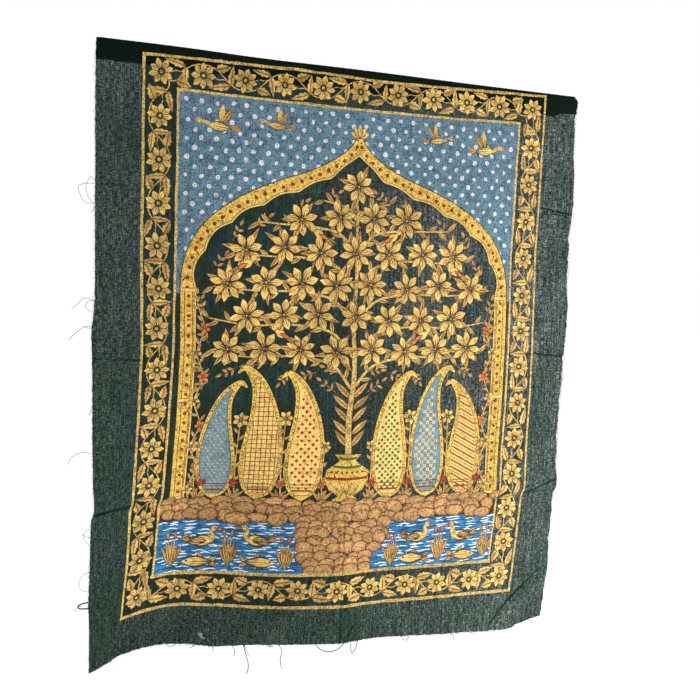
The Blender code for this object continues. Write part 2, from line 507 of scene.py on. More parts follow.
# The two lines of the frame, in millimetres of the flat cloth: a row of places for each side, which goes on
# to the next row's first place. The sides are the top, the right one, the foot and the left one.
OUTER_LINE = (
    ((76.6, 19.0), (165, 17.0), (220, 15.5), (340, 13.0), (480, 17.5), (600, 15.0), (760, 9.5)),
    ((842, 7.5), (842, 800)),
    ((840, 1007), (700, 1004), (465, 1006), (300, 1009), (160, 1005)),
    ((74, 1007),),
)
INNER_LINE = (
    ((133, 69), (480, 70.5), (640, 68.5)),
    ((788, 63.5), (787, 800)),
    ((784, 941), (630, 940), (465, 941), (300, 944)),
    ((122, 943), (123, 916), (127, 790), (128, 600), (130, 450), (132, 340)),
)
# How wide each side of the two lines is, and how bright its paint is made. Each row is (width,
# touch_and_shade), a row for each side.
OUTER_BRUSH = ((4.6, 0.86), (3.7, 1.00), (5.7, 0.87), (4.5, 0.94))
INNER_BRUSH = ((4.3, 0.92), (3.9, 1.00), (6.0, 0.82), (4.2, 0.98))
FLOWERS_ACROSS = 10
FLOWERS_DOWN = 13
FLOWER_RADIUS = 21.8
BORDER_SWING = 18.0
# How far apart a frame line wavers, how far a flower stands off its place, and how the vine is drawn.
FRAME_SWEEP = 14
FLOWER_OFF = 2.2
VINE_STEPS = 8
VINE_WIDTH = 1.8


def whole_line(line):
    return [place for side in line for place in side]


def frame_side(line, side):
    """One side of a frame line, with both its corners."""
    return list(line[side]) + [line[(side + 1) % 4][0]]


def painted_line(painting, line, brush):
    """A hand-drawn line round a frame, a little uneven in its width and its run."""
    for side, (width, touch_and_shade) in enumerate(brush):
        corners = np.array(frame_side(line, side), float)
        start, end = corners[0], corners[-1]
        run = (end - start) / np.linalg.norm(end - start)
        path = spaced(corners, FRAME_SWEEP)
        path[1:-1] += [[uneven(0.4), uneven(0.4)] for _ in path[1:-1]]
        path[0] -= run * width / 2
        path[-1] += run * width / 2
        stroke(painting, path, [width * (1 + uneven(0.2)) for _ in path], touch_and_shade=touch_and_shade)


def border_places():
    """The border's flowers, in order: where each stands, and the way out from the picture there."""
    corners = [(np.array(OUTER_LINE[side][0]) + INNER_LINE[side][0]) / 2 for side in range(4)]
    ways = [np.array(way, float) for way in ((0, -1), (1, 0), (0, 1), (-1, 0))]
    places = []
    for side, count in enumerate((FLOWERS_ACROSS, FLOWERS_DOWN, FLOWERS_ACROSS, FLOWERS_DOWN)):
        start, end = corners[side], corners[(side + 1) % 4]
        for k in range(count):
            out = ways[side] if k else (ways[side] + ways[side - 1]) / math.sqrt(2)
            loose = 0 if k == 0 else FLOWER_OFF
            off = [uneven(loose), uneven(loose * 0.6)]
            places.append((start + (end - start) * k / count + off, out))
    return places


def border_vine(painting, places):
    """One stem that swings from side to side round the whole frame, passing each flower on the other side."""
    path = []
    for k in range(len(places)):
        (a, out_a), (b, out_b) = places[k], places[(k + 1) % len(places)]
        for t in np.linspace(0, 1, VINE_STEPS, endpoint=False):
            out = out_a * (1 - t) + out_b * t
            swing = BORDER_SWING * math.cos(math.pi * t) * (1 if k % 2 else -1)
            swing *= 1.12 - 0.12 * math.cos(2 * math.pi * t)
            path.append(a * (1 - t) + b * t + out / np.linalg.norm(out) * swing)
    path = np.array(path + [path[0]])
    for k in range(0, len(path) - 1, VINE_STEPS):
        width = VINE_WIDTH * (1 + uneven(0.1))
        stroke(painting, path[k:k + VINE_STEPS + 1], width, "gold_line", 0, border_touch_and_shade(path[k]))


# Where the border's paint is made bright or dull: partly the paint's own unevenness, partly painted shade
# along the left side and the upper left and painted light at the lower right. Each row is (left, top, right,
# foot, touch_and_shade). The first row that holds a place counts.
BORDER_TOUCH_AND_SHADE = (
    (-math.inf, 900, 1000 * CENTRE_CREASE, math.inf, 0.91),
    (-math.inf, 900, math.inf, math.inf, 1.08),
    (-math.inf, -math.inf, 150, 780, 0.92),
    (-math.inf, -math.inf, 150, math.inf, 0.84),
    (-math.inf, -math.inf, 600, 100, 0.83),
)


def border_touch_and_shade(at):
    """The paint of the border is made duller along the left side and the upper left than at the lower right:
    partly its own unevenness, partly painted shade and painted light.
    """
    for left, top, right, low, touch_and_shade in BORDER_TOUCH_AND_SHADE:
        if left < at[0] < right and top < at[1] < low:
            return touch_and_shade
    return 1.0


# The leaves between two border flowers. Each row is (ahead of the middle, to the vine's far side, heading
# from the vine's run, length, width), in millimetres and radians.
BORDER_LEAVES = (
    (10, 13, 2.96, 36, 12.0),
    (10, 13, -1.52, 35, 11.0),
    (-15, -12, -0.32, 26, 14.0),
)
# The path of the forked stem among them, as (ahead of the middle, to the far side).
BORDER_FORK = ((7, 6), (-2, 3), (-10, 4), (-18, 1))
# The leaves along the foot were painted fuller, and those along the narrow left side stand closer to the
# vine.
FOOT_FULLER = 1.25
FOOT_FROM = 950
LEFT_TO = 150
LEFT_CLOSER = 0.88


def border_sprays(painting, places):
    """Between two flowers: saw-edged leaves and a forked stem."""
    for k in range(len(places)):
        (a, out_a), (b, out_b) = places[k], places[(k + 1) % len(places)]
        along = (b - a) / np.linalg.norm(b - a)
        out = (out_a + out_b) / np.linalg.norm(out_a + out_b) * (-1 if k % 2 else 1)
        middle = (a + b) / 2
        handed = 1 if along[0] * out[1] - along[1] * out[0] > 0 else -1
        heading = math.atan2(along[1], along[0])
        fork = [middle + along * x + out * y for x, y in BORDER_FORK]
        touch_and_shade = border_touch_and_shade(middle)
        fuller = FOOT_FULLER if middle[1] > FOOT_FROM else 1.0
        closer = LEFT_CLOSER if max(a[0], b[0]) <= LEFT_TO else 1
        stroke(painting, smooth(fork, 3), 1.4, "gold_line", 0, touch_and_shade)
        for ahead, aside, turn, length, width in BORDER_LEAVES:
            root = middle + along * ahead + out * (closer * aside)
            size = 1 + uneven(0.08)
            angle = heading + handed * (turn + uneven(0.14))
            leaf(painting, root, angle, length * size, width * size * fuller, 4, "border_leaf", touch_and_shade=touch_and_shade)


def paint_border(painting):
    """The ground between the two lines, then the flowers on it. It covers what runs over the inner line."""
    for side in range(4):
        painting.lay(frame_side(OUTER_LINE, side) + frame_side(INNER_LINE, side)[::-1], "border_ground")
    paint_strip(painting)
    places = border_places()
    border_vine(painting, places)
    border_sprays(painting, places)
    for at, _ in places:
        radius = FLOWER_RADIUS * (1 + uneven(0.05))
        flower(painting, at, radius, 8, uneven(0.4), 1.10, 0.29, touch_and_shade=border_touch_and_shade(at))
    painted_line(painting, OUTER_LINE, OUTER_BRUSH)
    painted_line(painting, INNER_LINE, INNER_BRUSH)


def paint_strip(painting):
    """Along the top, as far down as the flap behind it, the cloth is double. A nearly black painted shade is
    laid there for the light that the flap keeps from coming through.
    """
    across = np.linspace(0.0, CLOTH_WIDTH, 90)
    shadow_end = FLAP + table(CUT_FLAP, across) + [uneven(0.0012) for _ in across]
    lower = np.column_stack([across, shadow_end]) / MM
    beyond = [(-20, -80), (CLOTH_WIDTH / MM + 20, -80)]
    # Painted shade over the doubled strip.
    painting.lay(np.vstack([beyond, lower[::-1]]), "doubled_cotton")


# The picture: a cusped arch over a flowering tree, with patterned mangoes on a stony bank, and a pool on each
# side. Places are (from the middle line, down), in millimetres, and most are painted on both sides.
MIDDLE = 460.0
BANK = 800.0
ARCH_OUT = (
    (319, 400), (317, 372), (307, 332), (283, 292), (246, 258), (198, 229),
    (146, 206), (92, 186), (46, 162), (16, 138), (0, 112),
)
ARCH_IN = (
    (291, 400), (289, 374), (279, 341), (257, 309), (224, 281), (182, 257),
    (134, 235), (84, 215), (42, 193), (14, 172), (0, 154),
)
CUSPS = 6
CUSP_DEPTH = 7.0
# The line that gold work's brush marks follow: its start, its end and its half width.
GOLD_RUN = ((0, 0), (0, 900), 300)
# The outer and inner edges of the arch's posts, and the two lines and the row of beads between them.
POST_OUT = 319
POST_IN = 292
POST_LINES = (298, 312)
POST_BEADS = 305
POST_COLLAR = 318
POST_TOP = 404
BEAD_GAP = 17.5


def on_side(side, place):
    return np.array([MIDDLE + side * place[0], place[1]])


def side_angle(side, angle):
    """An angle on the right side, or its mirror image on the left."""
    return angle if side > 0 else math.pi - angle


def over_the_arch(half):
    """A path from the left foot of the arch to the right one, from its right half."""
    return np.vstack([half * [-1, 1], half[-2::-1]]) + [MIDDLE, 0]


def run_share(path):
    """How far along a path each of its points is, from 0 to 1, and the path's length."""
    steps = np.linalg.norm(np.diff(path, axis=0), axis=1)
    run = np.concatenate([[0], np.cumsum(steps)])
    return run / run[-1], run[-1]


def spaced(path, gap):
    """Points at even gaps along a path."""
    share, length = run_share(path)
    return on_path(path, share, np.linspace(0, 1, max(int(length / gap), 1) + 1))


def on_path(path, share, wanted):
    """The places on a path at the wanted shares of it, where share is its own points' shares."""
    return np.array([np.interp(wanted, share, column) for column in path.T]).T


def arch_half_width(down):
    return table(sorted((row[1], row[0]) for row in ARCH_IN), down)


SKY_DOT = 4.4
SKY_ROWS = 15.5
SKY_COLUMNS = 26


def sky_dot(painting, at):
    """A white dot, drawn out a little to one side."""
    radius = SKY_DOT + uneven(0.7)
    narrow = [1 - abs(uneven(0.25)), 1]
    spot = disc((0, 0), radius, 6) * narrow * [[1 + uneven(0.12)] for _ in range(6)]
    spot = turned(spot, chance.uniform(0, 3), at)
    painting.lay(spot, "white", at, at + np.array([radius, 0]), radius)


def paint_sky(painting):
    """Blue sky with rows of white dots, and two pairs of flying geese."""
    painting.lay([(133, 69), (788, 62), (788, 410), (133, 410)], "sky_blue")
    for row, down in enumerate(np.arange(84, 400, SKY_ROWS)):
        beyond = arch_half_width(down - SKY_COLUMNS) if down > 180 else 0
        for across in np.arange(148 + SKY_COLUMNS / 2 * (row % 2), 784, SKY_COLUMNS):
            if abs(across - MIDDLE) > beyond:
                sky_dot(painting, np.array([across + uneven(2.0), down + uneven(1.8)]))
    for side in (-1, 1):
        animal(painting, GOOSE, on_side(side, (252, 122)), side)
        animal(painting, GOOSE, on_side(side, (150, 112)), side, 0.8)


# The animals, heading right: the width of the line round each, and its parts in the order of painting.
# A "leaf" row is (kind, ahead, down, heading, length, width, paint).
# A "disc" row is (kind, ahead, down, radius, sides, paint).
# A "neck" row is (kind, its path, its width at the foot, its width at the head, the width of its line).
GOOSE = (0.0, (
    ("leaf", -14, 2, math.pi - 0.15, 24, 7, "gold_leaf"),
    ("leaf", -14, 2, math.pi + 0.25, 22, 7, "gold_leaf"),
    ("leaf", 0, -4, -2.2, 34, 12, "gold_leaf"),
    ("leaf", -18, 4, -0.12, 44, 18, "gold_petal"),
    ("leaf", 4, -2, -1.75, 36, 13, "gold_petal"),
    ("neck", ((20, 0), (30, -6), (38, -7)), 7, 4, 0.6),
    ("disc", 40, -7, 4.4, 9, "gold_line"),
    ("leaf", 42, -7, 0.1, 9, 3, "orange"),
    ("disc", 41, -8, 1.0, 6, "brown_line"),
))
SMALL_BIRD = (0.7, (
    ("leaf", -8, 4, 2.75, 27, 6, "gold_leaf"),
    ("leaf", -8, 4, 2.45, 25, 6, "gold_leaf"),
    ("leaf", -12, 7, -0.55, 29, 14, "pale_yellow"),
    ("leaf", 2, -2, 2.65, 20, 8, "orange"),
    ("leaf", 14, -13, 0.15, 9, 3.5, "orange"),
    ("disc", 13, -12, 5.6, 10, "brown_line"),
    ("disc", 13, -12, 4.9, 10, "pale_yellow"),
    ("disc", 14.5, -13, 1.0, 6, "brown_line"),
))
DUCK = (0.8, (
    ("leaf", -14, 4, math.pi + 0.75, 20, 7, "gold_leaf"),
    ("leaf", -14, 4, math.pi + 0.45, 20, 7, "gold_leaf"),
    ("leaf", -14, 4, math.pi + 0.15, 20, 7, "gold_leaf"),
    ("leaf", -22, 8, -0.10, 50, 25, "gold_petal"),
    ("neck", ((19, 6), (24, -3), (21, -12), (24, -18)), 9, 6, 0.8),
    ("disc", 26, -19, 6.2, 10, "brown_line"),
    ("disc", 26, -19, 5.4, 10, "gold_line"),
    ("leaf", 30, -18, 0.15, 11, 4.5, "orange"),
    ("disc", 27.2, -20.2, 1.1, 6, "brown_line"),
    ("leaf", 12, 5, math.pi - 0.22, 30, 9, "gold_leaf"),
    ("leaf", 12, 5, math.pi - 0.02, 27, 9, "gold_leaf"),
    ("leaf", 12, 5, math.pi + 0.2, 23, 9, "gold_leaf"),
))
FISH = (0.8, (
    ("leaf", -17, 0, math.pi - 0.5, 20, 10, "gold_leaf"),
    ("leaf", -17, 0, math.pi + 0.5, 20, 10, "gold_leaf"),
    ("leaf", -6, -5, -1.1, 16, 8, "gold_leaf"),
    ("leaf", 0, 5, 2.2, 12, 6, "gold_leaf"),
    ("leaf", -26, 0, 0.0, 58, 23, "gold_petal"),
    ("disc", 21, -1.5, 2.1, 7, "brown_line"),
))


def animal(painting, rows, at, way, size=1.0):
    """A bird or a fish in side view that heads right, or left where way is -1."""
    rim, parts = rows
    for kind, *rest in parts:
        if kind == "neck":
            places, thick, thin, edge = rest
            path = smooth(at + np.array(places) * [way, 1] * size, 4)
            stroke(painting, path, np.linspace(thick, thin, len(path)) * size, "gold_line", edge)
            continue
        place = at + np.array([way * rest[0], rest[1]]) * size
        if kind == "disc":
            radius, sides, paint = rest[2:]
            painting.lay(disc(place, radius * size, sides), paint)
        else:
            heading, length, width, paint = rest[2:]
            leaf(painting, place, side_angle(way, heading), length * size, width * size, 0, paint, rim)


def paint_arch(painting):
    """A gold arch on two gold posts, cusped on the inside, with a row of red beads."""
    outer, inner = smooth(ARCH_OUT, 6), smooth(ARCH_IN, 6)
    share, _ = run_share(inner)
    run = unit(np.gradient(inner, axis=0))
    out = np.column_stack([-run[:, 1], run[:, 0]])
    cusped = inner + out * (CUSP_DEPTH * np.abs(np.sin(np.pi * CUSPS * share)))[:, None]
    arch, opening = (
        np.vstack([over_the_arch(half), [on_side(side, (foot, BANK + 14)) for side in (1, -1)]])
        for half, foot in ((outer, POST_OUT), (cusped, POST_IN))
    )
    painting.edged(arch, "gold_band", *GOLD_RUN, 1.6)
    for by, paint in ((4.6, "brown_line"), (3.6, "pale_yellow"), (1.2, "brown_line")):
        painting.lay(grown(opening, by), paint)
    painting.lay(opening, "green_ground")
    for at in spaced(over_the_arch(outer * 0.60 + inner * 0.40), BEAD_GAP):
        bead(painting, at, 3.6)
    for side in (-1, 1):
        paint_post(painting, side)
    top = np.array([MIDDLE, 122.0])
    for turn in (-1.0, 1.0, -0.5, 0.5, 0.0):
        leaf(painting, top, -math.pi / 2 + turn, 26 - 5 * abs(turn), 11, 0, "gold_petal")


def paint_post(painting, side):
    for edge in POST_LINES:
        line = np.array([on_side(side, (edge, down)) for down in (POST_TOP, BANK + 12)])
        stroke(painting, line, 1.1, "brown_line")
    for down in np.arange(POST_TOP + 10, BANK, BEAD_GAP):
        bead(painting, on_side(side, (POST_BEADS, down)), 3.2)
    for down in (POST_TOP, 600, BANK - 6):
        collar = np.array([on_side(side, (edge, down)) for edge in (POST_IN, POST_COLLAR)])
        stroke(painting, collar, 5.5, "pale_yellow", 0.8)


def bead(painting, at, radius):
    painting.lay(disc(at, radius, 8), "brown_line")
    painting.lay(disc(at, radius * 0.72, 6), "red")


def branch(painting, path, thick, thin, gap, length, width):
    """A tapering stem with leaves in turn on its two sides."""
    path = smooth(path, 5)
    places = spaced(path, gap)
    for k in range(1, len(places)):
        run = places[k] - places[k - 1]
        angle = math.atan2(run[1], run[0]) + (0.75 + uneven(0.2)) * (1 if k % 2 else -1)
        leaf(painting, places[k], angle, length * (1 + uneven(0.15)), width)
    stroke(painting, path, np.linspace(thick, thin, len(path)), "gold_line", 0.6)


TREE_ROWS = (212, 268, 327, 387, 447, 507)
TREE_PITCH = 67
TRUNK = ((0, 716), (-3, 640), (3, 560), (-2, 470), (2, 380), (0, 300), (0, 226))
# The big leaves of the trunk. Each row is (down, heading).
TRUNK_LEAVES = ((692, -0.9), (668, -0.75), (644, -0.8), (620, -0.7), (598, -0.8))
BOUGHS = (
    ((2, 580), (40, 536), (110, 520), (190, 522), (262, 512)),
    ((2, 520), (46, 474), (120, 462), (196, 464), (270, 452)),
    ((2, 456), (44, 414), (112, 402), (184, 402), (262, 396)),
    ((2, 392), (40, 352), (100, 340), (160, 340), (224, 336)),
    ((2, 330), (34, 294), (86, 284), (140, 282), (182, 280)),
    ((1, 270), (14, 250), (44, 240), (64, 236)),
)
# Small sprays that fill the ground. Each row is (from the middle, down, heading, length).
SPRAYS = (
    (262, 372, -1.9, 34), (232, 318, -2.2, 32), (192, 292, -2.5, 34), (128, 262, -2.7, 36),
    (66, 240, -2.4, 34), (276, 444, -1.3, 36), (268, 500, -0.9, 30), (288, 560, -1.7, 34),
    (26, 590, -0.6, 40), (66, 548, 0.3, 34), (120, 548, 0.9, 26), (160, 532, 0.2, 40),
    (214, 538, 0.6, 32), (262, 548, 0.9, 40), (24, 548, -0.2, 30),
)


def spray(painting, at, heading, length):
    """A short curved stem with small leaves in pairs and one at its tip."""
    bend = uneven(0.25)
    shares = (0, 0.35, 0.7, 1)
    path = [np.asarray(at) + toward(heading + bend * share, length * share) for share in shares]
    stroke(painting, smooth(path, 3), np.linspace(1.6, 0.9, 10), "gold_leaf")
    for place in path[1:3]:
        for turn in (-0.85, 0.85):
            leaf(painting, place, heading + turn + uneven(0.2), 13 + uneven(2), 6)
    leaf(painting, path[3], heading + bend, 14, 7)


def paint_tree(painting):
    """A tree of star flowers that grows from a jar, its boughs spread evenly to both sides."""
    for side in (-1, 1):
        for across, down, heading, length in SPRAYS:
            spray(painting, on_side(side, (across, down)), side_angle(side, heading), length)
        for bough in BOUGHS:
            branch(painting, [on_side(side, place) for place in bough], 5.5, 2.0, 19, 24, 10)
        for down, turn in TRUNK_LEAVES:
            leaf(painting, on_side(side, (2, down)), side_angle(side, turn), 44, 14, 5)
    path = smooth([on_side(1, place) for place in TRUNK], 5)
    stroke(painting, path, np.linspace(12, 3, len(path)), "gold_line", 0.9)
    for row, down in enumerate(TREE_ROWS):
        reach = arch_half_width(down) - 36
        for across in np.arange(TREE_PITCH / 2 * (row % 2), reach + 1e-9, TREE_PITCH):
            for side in (-1, 1) if across else (1,):
                tree_flower(painting, on_side(side, (across + uneven(4), down + uneven(5))))
    for side in (-1, 1):
        for place, way in (((70, 298), 1), ((204, 356), -1), ((138, 480), 1)):
            animal(painting, SMALL_BIRD, on_side(side, place), side * way)


def tree_flower(painting, at):
    """A star flower over four leaves."""
    for turn in (0.4, 1.9, 3.4, 4.9):
        leaf(painting, at, turn + uneven(0.5), 43 + uneven(5), 13)
    petals = chance.choice((7, 7, 8))
    flower(painting, at, 31 + uneven(2), petals, uneven(0.4), 0.90, 0.13)


JAR_HALF = (
    (0, 800), (22, 800), (24, 794), (15, 788), (32, 776), (43, 756),
    (39, 736), (22, 724), (15, 718), (25, 706), (0, 706),
)
# The jar's bands. Each row is (down, half its length, paint).
JAR_BANDS = ((752, 41, "red"), (729, 27, "green"), (713, 17, "green"))


def paint_jar(painting):
    """A round gold jar on a foot, with bands of petals and beads."""
    half = np.array(JAR_HALF, float)
    shape = np.vstack([half, half[-2:0:-1] * [-1, 1]]) + [MIDDLE, 0]
    painting.edged(shape, "gold_band", *GOLD_RUN, 1.4)
    for turn in np.linspace(-0.5, 0.5, 5):
        root = np.array([MIDDLE + turn * 30, 787])
        leaf(painting, root, -math.pi / 2 + turn * 1.3, 28, 11, 0, "gold_petal")
    for down, reach, paint in JAR_BANDS:
        line = [(MIDDLE - reach, down), (MIDDLE, down + 2.5), (MIDDLE + reach, down)]
        stroke(painting, smooth(line, 4), 3.4, paint, 0.7)
    for across in np.arange(-30, 31, 10):
        bead(painting, (MIDDLE + across, 742 - across**2 * 0.002), 2.6)


# The middle line of a mango, as shares of its width and height.
MANGO_LINE = (
    (0, 0), (0.0, -0.22), (-0.04, -0.46), (-0.02, -0.68), (0.14, -0.87), (0.46, -0.985), (0.66, -0.95),
)
# Each row is (share of the way along that line, half width there as a share of the whole).
MANGO_WIDTH = (
    (0.00, 0.03), (0.03, 0.24), (0.09, 0.39), (0.20, 0.49), (0.34, 0.50), (0.50, 0.42),
    (0.65, 0.30), (0.78, 0.19), (0.90, 0.10), (1.00, 0.02),
)


def lattice(outline, gap_across, gap_down, clear):
    """Staggered places inside an outline, at least clear from its edge."""
    low, high = outline.min(0), outline.max(0)
    spots = []
    for row, down in enumerate(np.arange(high[1] - clear, low[1], -gap_down)):
        start = low[0] + (gap_across / 2 if row % 2 else 0)
        spots += [(across, down) for across in np.arange(start, high[0], gap_across)]
    spots = np.array(spots)
    return spots[within(outline, spots) & (gap_to(outline, spots) > clear)]


def chords(outline, angle, gap):
    """Lines across an outline at one angle, cut off where they meet it."""
    level = turned(outline, -angle)
    lines = []
    for height in np.arange(level[:, 1].min() + gap / 2, level[:, 1].max(), gap):
        meets = []
        for a, b in zip(level, np.roll(level, -1, axis=0)):
            if (a[1] > height) != (b[1] > height):
                meets.append(a[0] + (height - a[1]) * (b[0] - a[0]) / (b[1] - a[1]))
        meets.sort()
        for start, end in zip(meets[::2], meets[1::2]):
            if end - start > 2:
                lines.append(turned([(start, height), (end, height)], angle))
    return lines


def diamonds(painting, shape, paint, size):
    diamond = np.array([(size, 0), (0, size), (-size, 0), (0, -size)])
    for spot in lattice(shape, 4.2 * size, 2.3 * size, size * 1.25):
        painting.lay(spot + diamond * (1 + uneven(0.12)), paint)


def dots(painting, shape, paint, size):
    for spot in lattice(shape, 4.0 * size, 2.1 * size, size * 1.2):
        painting.lay(disc(spot, size * (1 + uneven(0.12)), 7), paint)


def four_dots(painting, shape, paint, size):
    for spot in lattice(shape, 7.0 * size, 3.6 * size, size * 2.6):
        for turn in range(4):
            at = spot + toward(math.pi / 4 + turn * math.pi / 2, 1.25 * size)
            painting.lay(disc(at, 0.8 * size, 6), paint)


def ticks(painting, shape, paint, size):
    thin = 0.3 * size
    tick = [(-size, -thin), (size, -thin), (size, thin), (-size, thin)]
    for spot in lattice(shape, 3.6 * size, 2.5 * size, size * 1.4):
        painting.lay(turned(tick, 0.6 + uneven(0.2), spot), paint)


def checks(painting, shape, paint, size):
    for angle in (0.0, math.pi / 2):
        for k, line in enumerate(chords(shape, angle, 3.4 * size)):
            stroke(painting, line, 0.55 * size, paint if k % 2 else "brown_line")


def stripes(painting, shape, paint, size):
    for k, line in enumerate(chords(shape, 0.5, 3.0 * size)):
        stroke(painting, line, 1.5 * size if k % 2 else 0.5 * size, paint if k % 2 else "brown_line")


# Each row is (from the middle, width, height, way its tip bends), and then the ground, the pattern, its paint
# and its size, for the right one and for the left one.
MANGOES = (
    (84, 74, 248, 1, "pale_yellow", dots, "green", 3.0, "pale_yellow", diamonds, "red", 3.4),
    (164, 76, 258, 1, "dull_blue", four_dots, "pale_yellow", 2.0, "pale_yellow", checks, "red", 2.6),
    (242, 70, 230, -1, "pale_yellow", stripes, "red", 2.0, "dull_blue", ticks, "gold_line", 2.5),
)
# How far apart the beads on a mango's gold band are, as a share of its line, and how wide the band is.
MANGO_BEADS = 0.036
MANGO_BAND = 7.5
# The stripes near a mango's foot. Each row is (how far up, width, paint).
MANGO_HEM = ((0, 3.4, "red"), (7, 1.6, "green"), (12, 1.6, "brown_line"))


def mango(painting, foot, width, height, bend, ground, pattern, paint, size):
    """A tall mango motif: a gold band with beads, a patterned field, and hem stripes near its foot."""
    line = smooth(MANGO_LINE, 5) * [width * bend, height] + foot
    share, _ = run_share(line)
    halves = table(MANGO_WIDTH, share) * width
    shape = ribbon(line, 2 * halves)
    painting.edged(shape, "gold_band", *GOLD_RUN, 1.3)
    for share in np.arange(0.05, 0.80, MANGO_BEADS):
        k = share * (len(line) - 1)
        at, centre = (on_path(path, range(len(path)), k) for path in (shape, line))
        for edge in (at, 2 * centre - at):
            inward = centre - edge
            spot = edge + inward / max(np.linalg.norm(inward), 1) * 3.6
            painting.lay(disc(spot, 1.35, 6), "brown_line")
    slim = np.maximum(halves - MANGO_BAND, 0)
    kept = slim > 1.0
    field = ribbon(line[kept], 2 * slim[kept])
    painting.edged(field, ground, line[0], line[-1], width / 2, 1.0)
    pattern(painting, grown(field, -1.0), paint, size)
    hem = foot[1] - 0.075 * height
    for rise, thick, stripe in MANGO_HEM:
        near = [c for c in chords(field, 0.0, 1.5) if abs(c[0][1] - (hem - rise)) <= 0.75]
        if near:
            stroke(painting, near[0], thick, stripe)


CREEPER_STEP = 44


def paint_creeper(painting, side):
    """A climbing stem beside each post, with small flowers and leaves."""
    path = []
    for k in range(18):
        path.append(on_side(side, (283 + 7 * math.sin(k * math.pi / 2), BANK - k * CREEPER_STEP / 2)))
    branch(painting, path, 2.4, 1.4, 11, 15, 6)
    for k in range(1, 17, 2):
        at = path[k] + [uneven(2), uneven(2)]
        paint = "gold_petal" if k % 4 == 1 else "orange"
        flower(painting, at, 10.5, 5, uneven(0.6), 0.8, 0.26, paint)


# The flowering stems between the mangoes. Each row is (from the middle, down to the flower, its radius).
STEMS = ((122, 636, 15), (204, 638, 15), (45, 690, 11), (276, 690, 10))
TUFTS = (46, 124, 203, 272)


def paint_grass(painting):
    """Flowering stems that rise between the mangoes, and tufts along the bank."""
    for across, top, radius in STEMS:
        for side in (-1, 1):
            places = ((across, BANK), (across + 3, (BANK + top) / 2), (across, top))
            path = [on_side(side, place) for place in places]
            branch(painting, path, 2.2, 1.4, 13, 15, 6.5)
            flower(painting, path[-1], radius, 6, uneven(0.5), 0.9, 0.22)
    for across in TUFTS:
        for side in (-1, 1):
            root = on_side(side, (across + uneven(4), BANK - 2))
            for turn in (-0.75, -0.35, 0.35, 0.8):
                leaf(painting, root, -math.pi / 2 + turn, 25 + uneven(5), 7)
            bloom = root + [uneven(4), -34]
            turn = uneven(0.5)
            paint = chance.choice(("orange", "gold_petal", "red_petal"))
            flower(painting, bloom, 9.5, 6, turn, 0.85, 0.26, paint)


STONE_SIDES = 11


def stone(painting, at, length, height):
    """A rounded stone, a little uneven."""
    angles = np.linspace(0, 2 * np.pi, STONE_SIDES, endpoint=False) + uneven(0.3)
    radii = np.array([1 + uneven(0.09) for _ in angles])
    shape = np.column_stack([np.cos(angles) * length / 2, np.sin(angles) * height / 2]) * radii[:, None]
    shape = turned(shape, uneven(0.22), at)
    reach = np.array([length / 2, 0])
    painting.edged(shape, "stone", at - reach, at + reach, height / 2, 1.3, 1 + uneven(0.16))


def paint_bank(painting):
    """A bank of rounded stones, which comes down between the two pools."""
    painting.lay([(127, BANK - 2), (787, BANK - 2), (786, BANK + 40), (125, BANK + 40)], "brown_line")
    rows = [(BANK + 4 + 14 * row, 330) for row in range(3)]
    rows += [(BANK + 46 + 15 * row, 92 - 4 * row) for row in range(7)]
    for down, reach in rows:
        across = -reach + 10 + uneven(6)
        while across < reach - 6:
            length = 34 + uneven(11)
            stone(painting, np.array([MIDDLE + across + 4, down + uneven(4)]), length, 24 + uneven(5))
            across += length * 0.84


def ripple(painting, at, length, paint):
    """One long wavy brush stroke on the water, drawn thin at both ends."""
    waves = chance.uniform(0.7, 1.6)
    rise = 0.9 + uneven(0.4)
    path = [at + np.array([length * t, rise * math.sin(math.tau * waves * t)]) for t in np.linspace(0, 1, 7)]
    wide = 2.3 + uneven(0.6)
    stroke(painting, path, [0.5, 0.8 * wide, wide, 0.9 * wide, wide, 0.8 * wide, 0.4], paint)


RIPPLE_ROWS = 5.6
WHITE_RIPPLES = 0.76
# Each row is (place, height).
REEDS = (((104, 932), 56), ((206, 930), 62), ((307, 930), 58))
# Each row is (animal, place, which way it heads on the right side).
SWIMMERS = (
    (DUCK, (152, 872), 1),
    (DUCK, (258, 876), -1),
    (FISH, (152, 920), -1),
    (FISH, (258, 922), 1),
)


def paint_pools(painting):
    """Two pools with ripples, ducks, fish and reeds."""
    shore = [(127, BANK + 30), (786, BANK + 30), (784, 942), (465, 942), (300, 945), (121, 944)]
    painting.lay(shore, "water_blue")
    for side in (-1, 1):
        for down in np.arange(BANK + 43, 940, RIPPLE_ROWS):
            across = 78 + uneven(8)
            while across < 318:
                length = 13 + chance.random() * 20
                root = on_side(side, (across + (0 if side > 0 else length), down + uneven(1.8)))
                paint = "ripple_white" if chance.random() < WHITE_RIPPLES else "deep_water"
                ripple(painting, root, length, paint)
                across += length + 3 + chance.random() * 13
        for place, height in REEDS:
            reeds(painting, on_side(side, place), height)
        for rows, place, way in SWIMMERS:
            animal(painting, rows, on_side(side, place), side * way)


def reeds(painting, at, height):
    """A clump of narrow leaves with two seed heads."""
    for turn in (-0.42, 0.42, -0.2, 0.22, 0.0):
        long = height * (0.95 - 0.4 * abs(turn)) * (1 + uneven(0.08))
        leaf(painting, at, -math.pi / 2 + turn, long, 8, 0, "gold_leaf", 0.6)
    for turn in (-0.12, 0.1):
        top = at + toward(-math.pi / 2 + turn, height * 0.92)
        stroke(painting, np.array([at, top]), 1.4, "gold_line", 0.5)
        leaf(painting, top, -math.pi / 2 + turn, 15, 6.5, 0, "orange", 0.7)


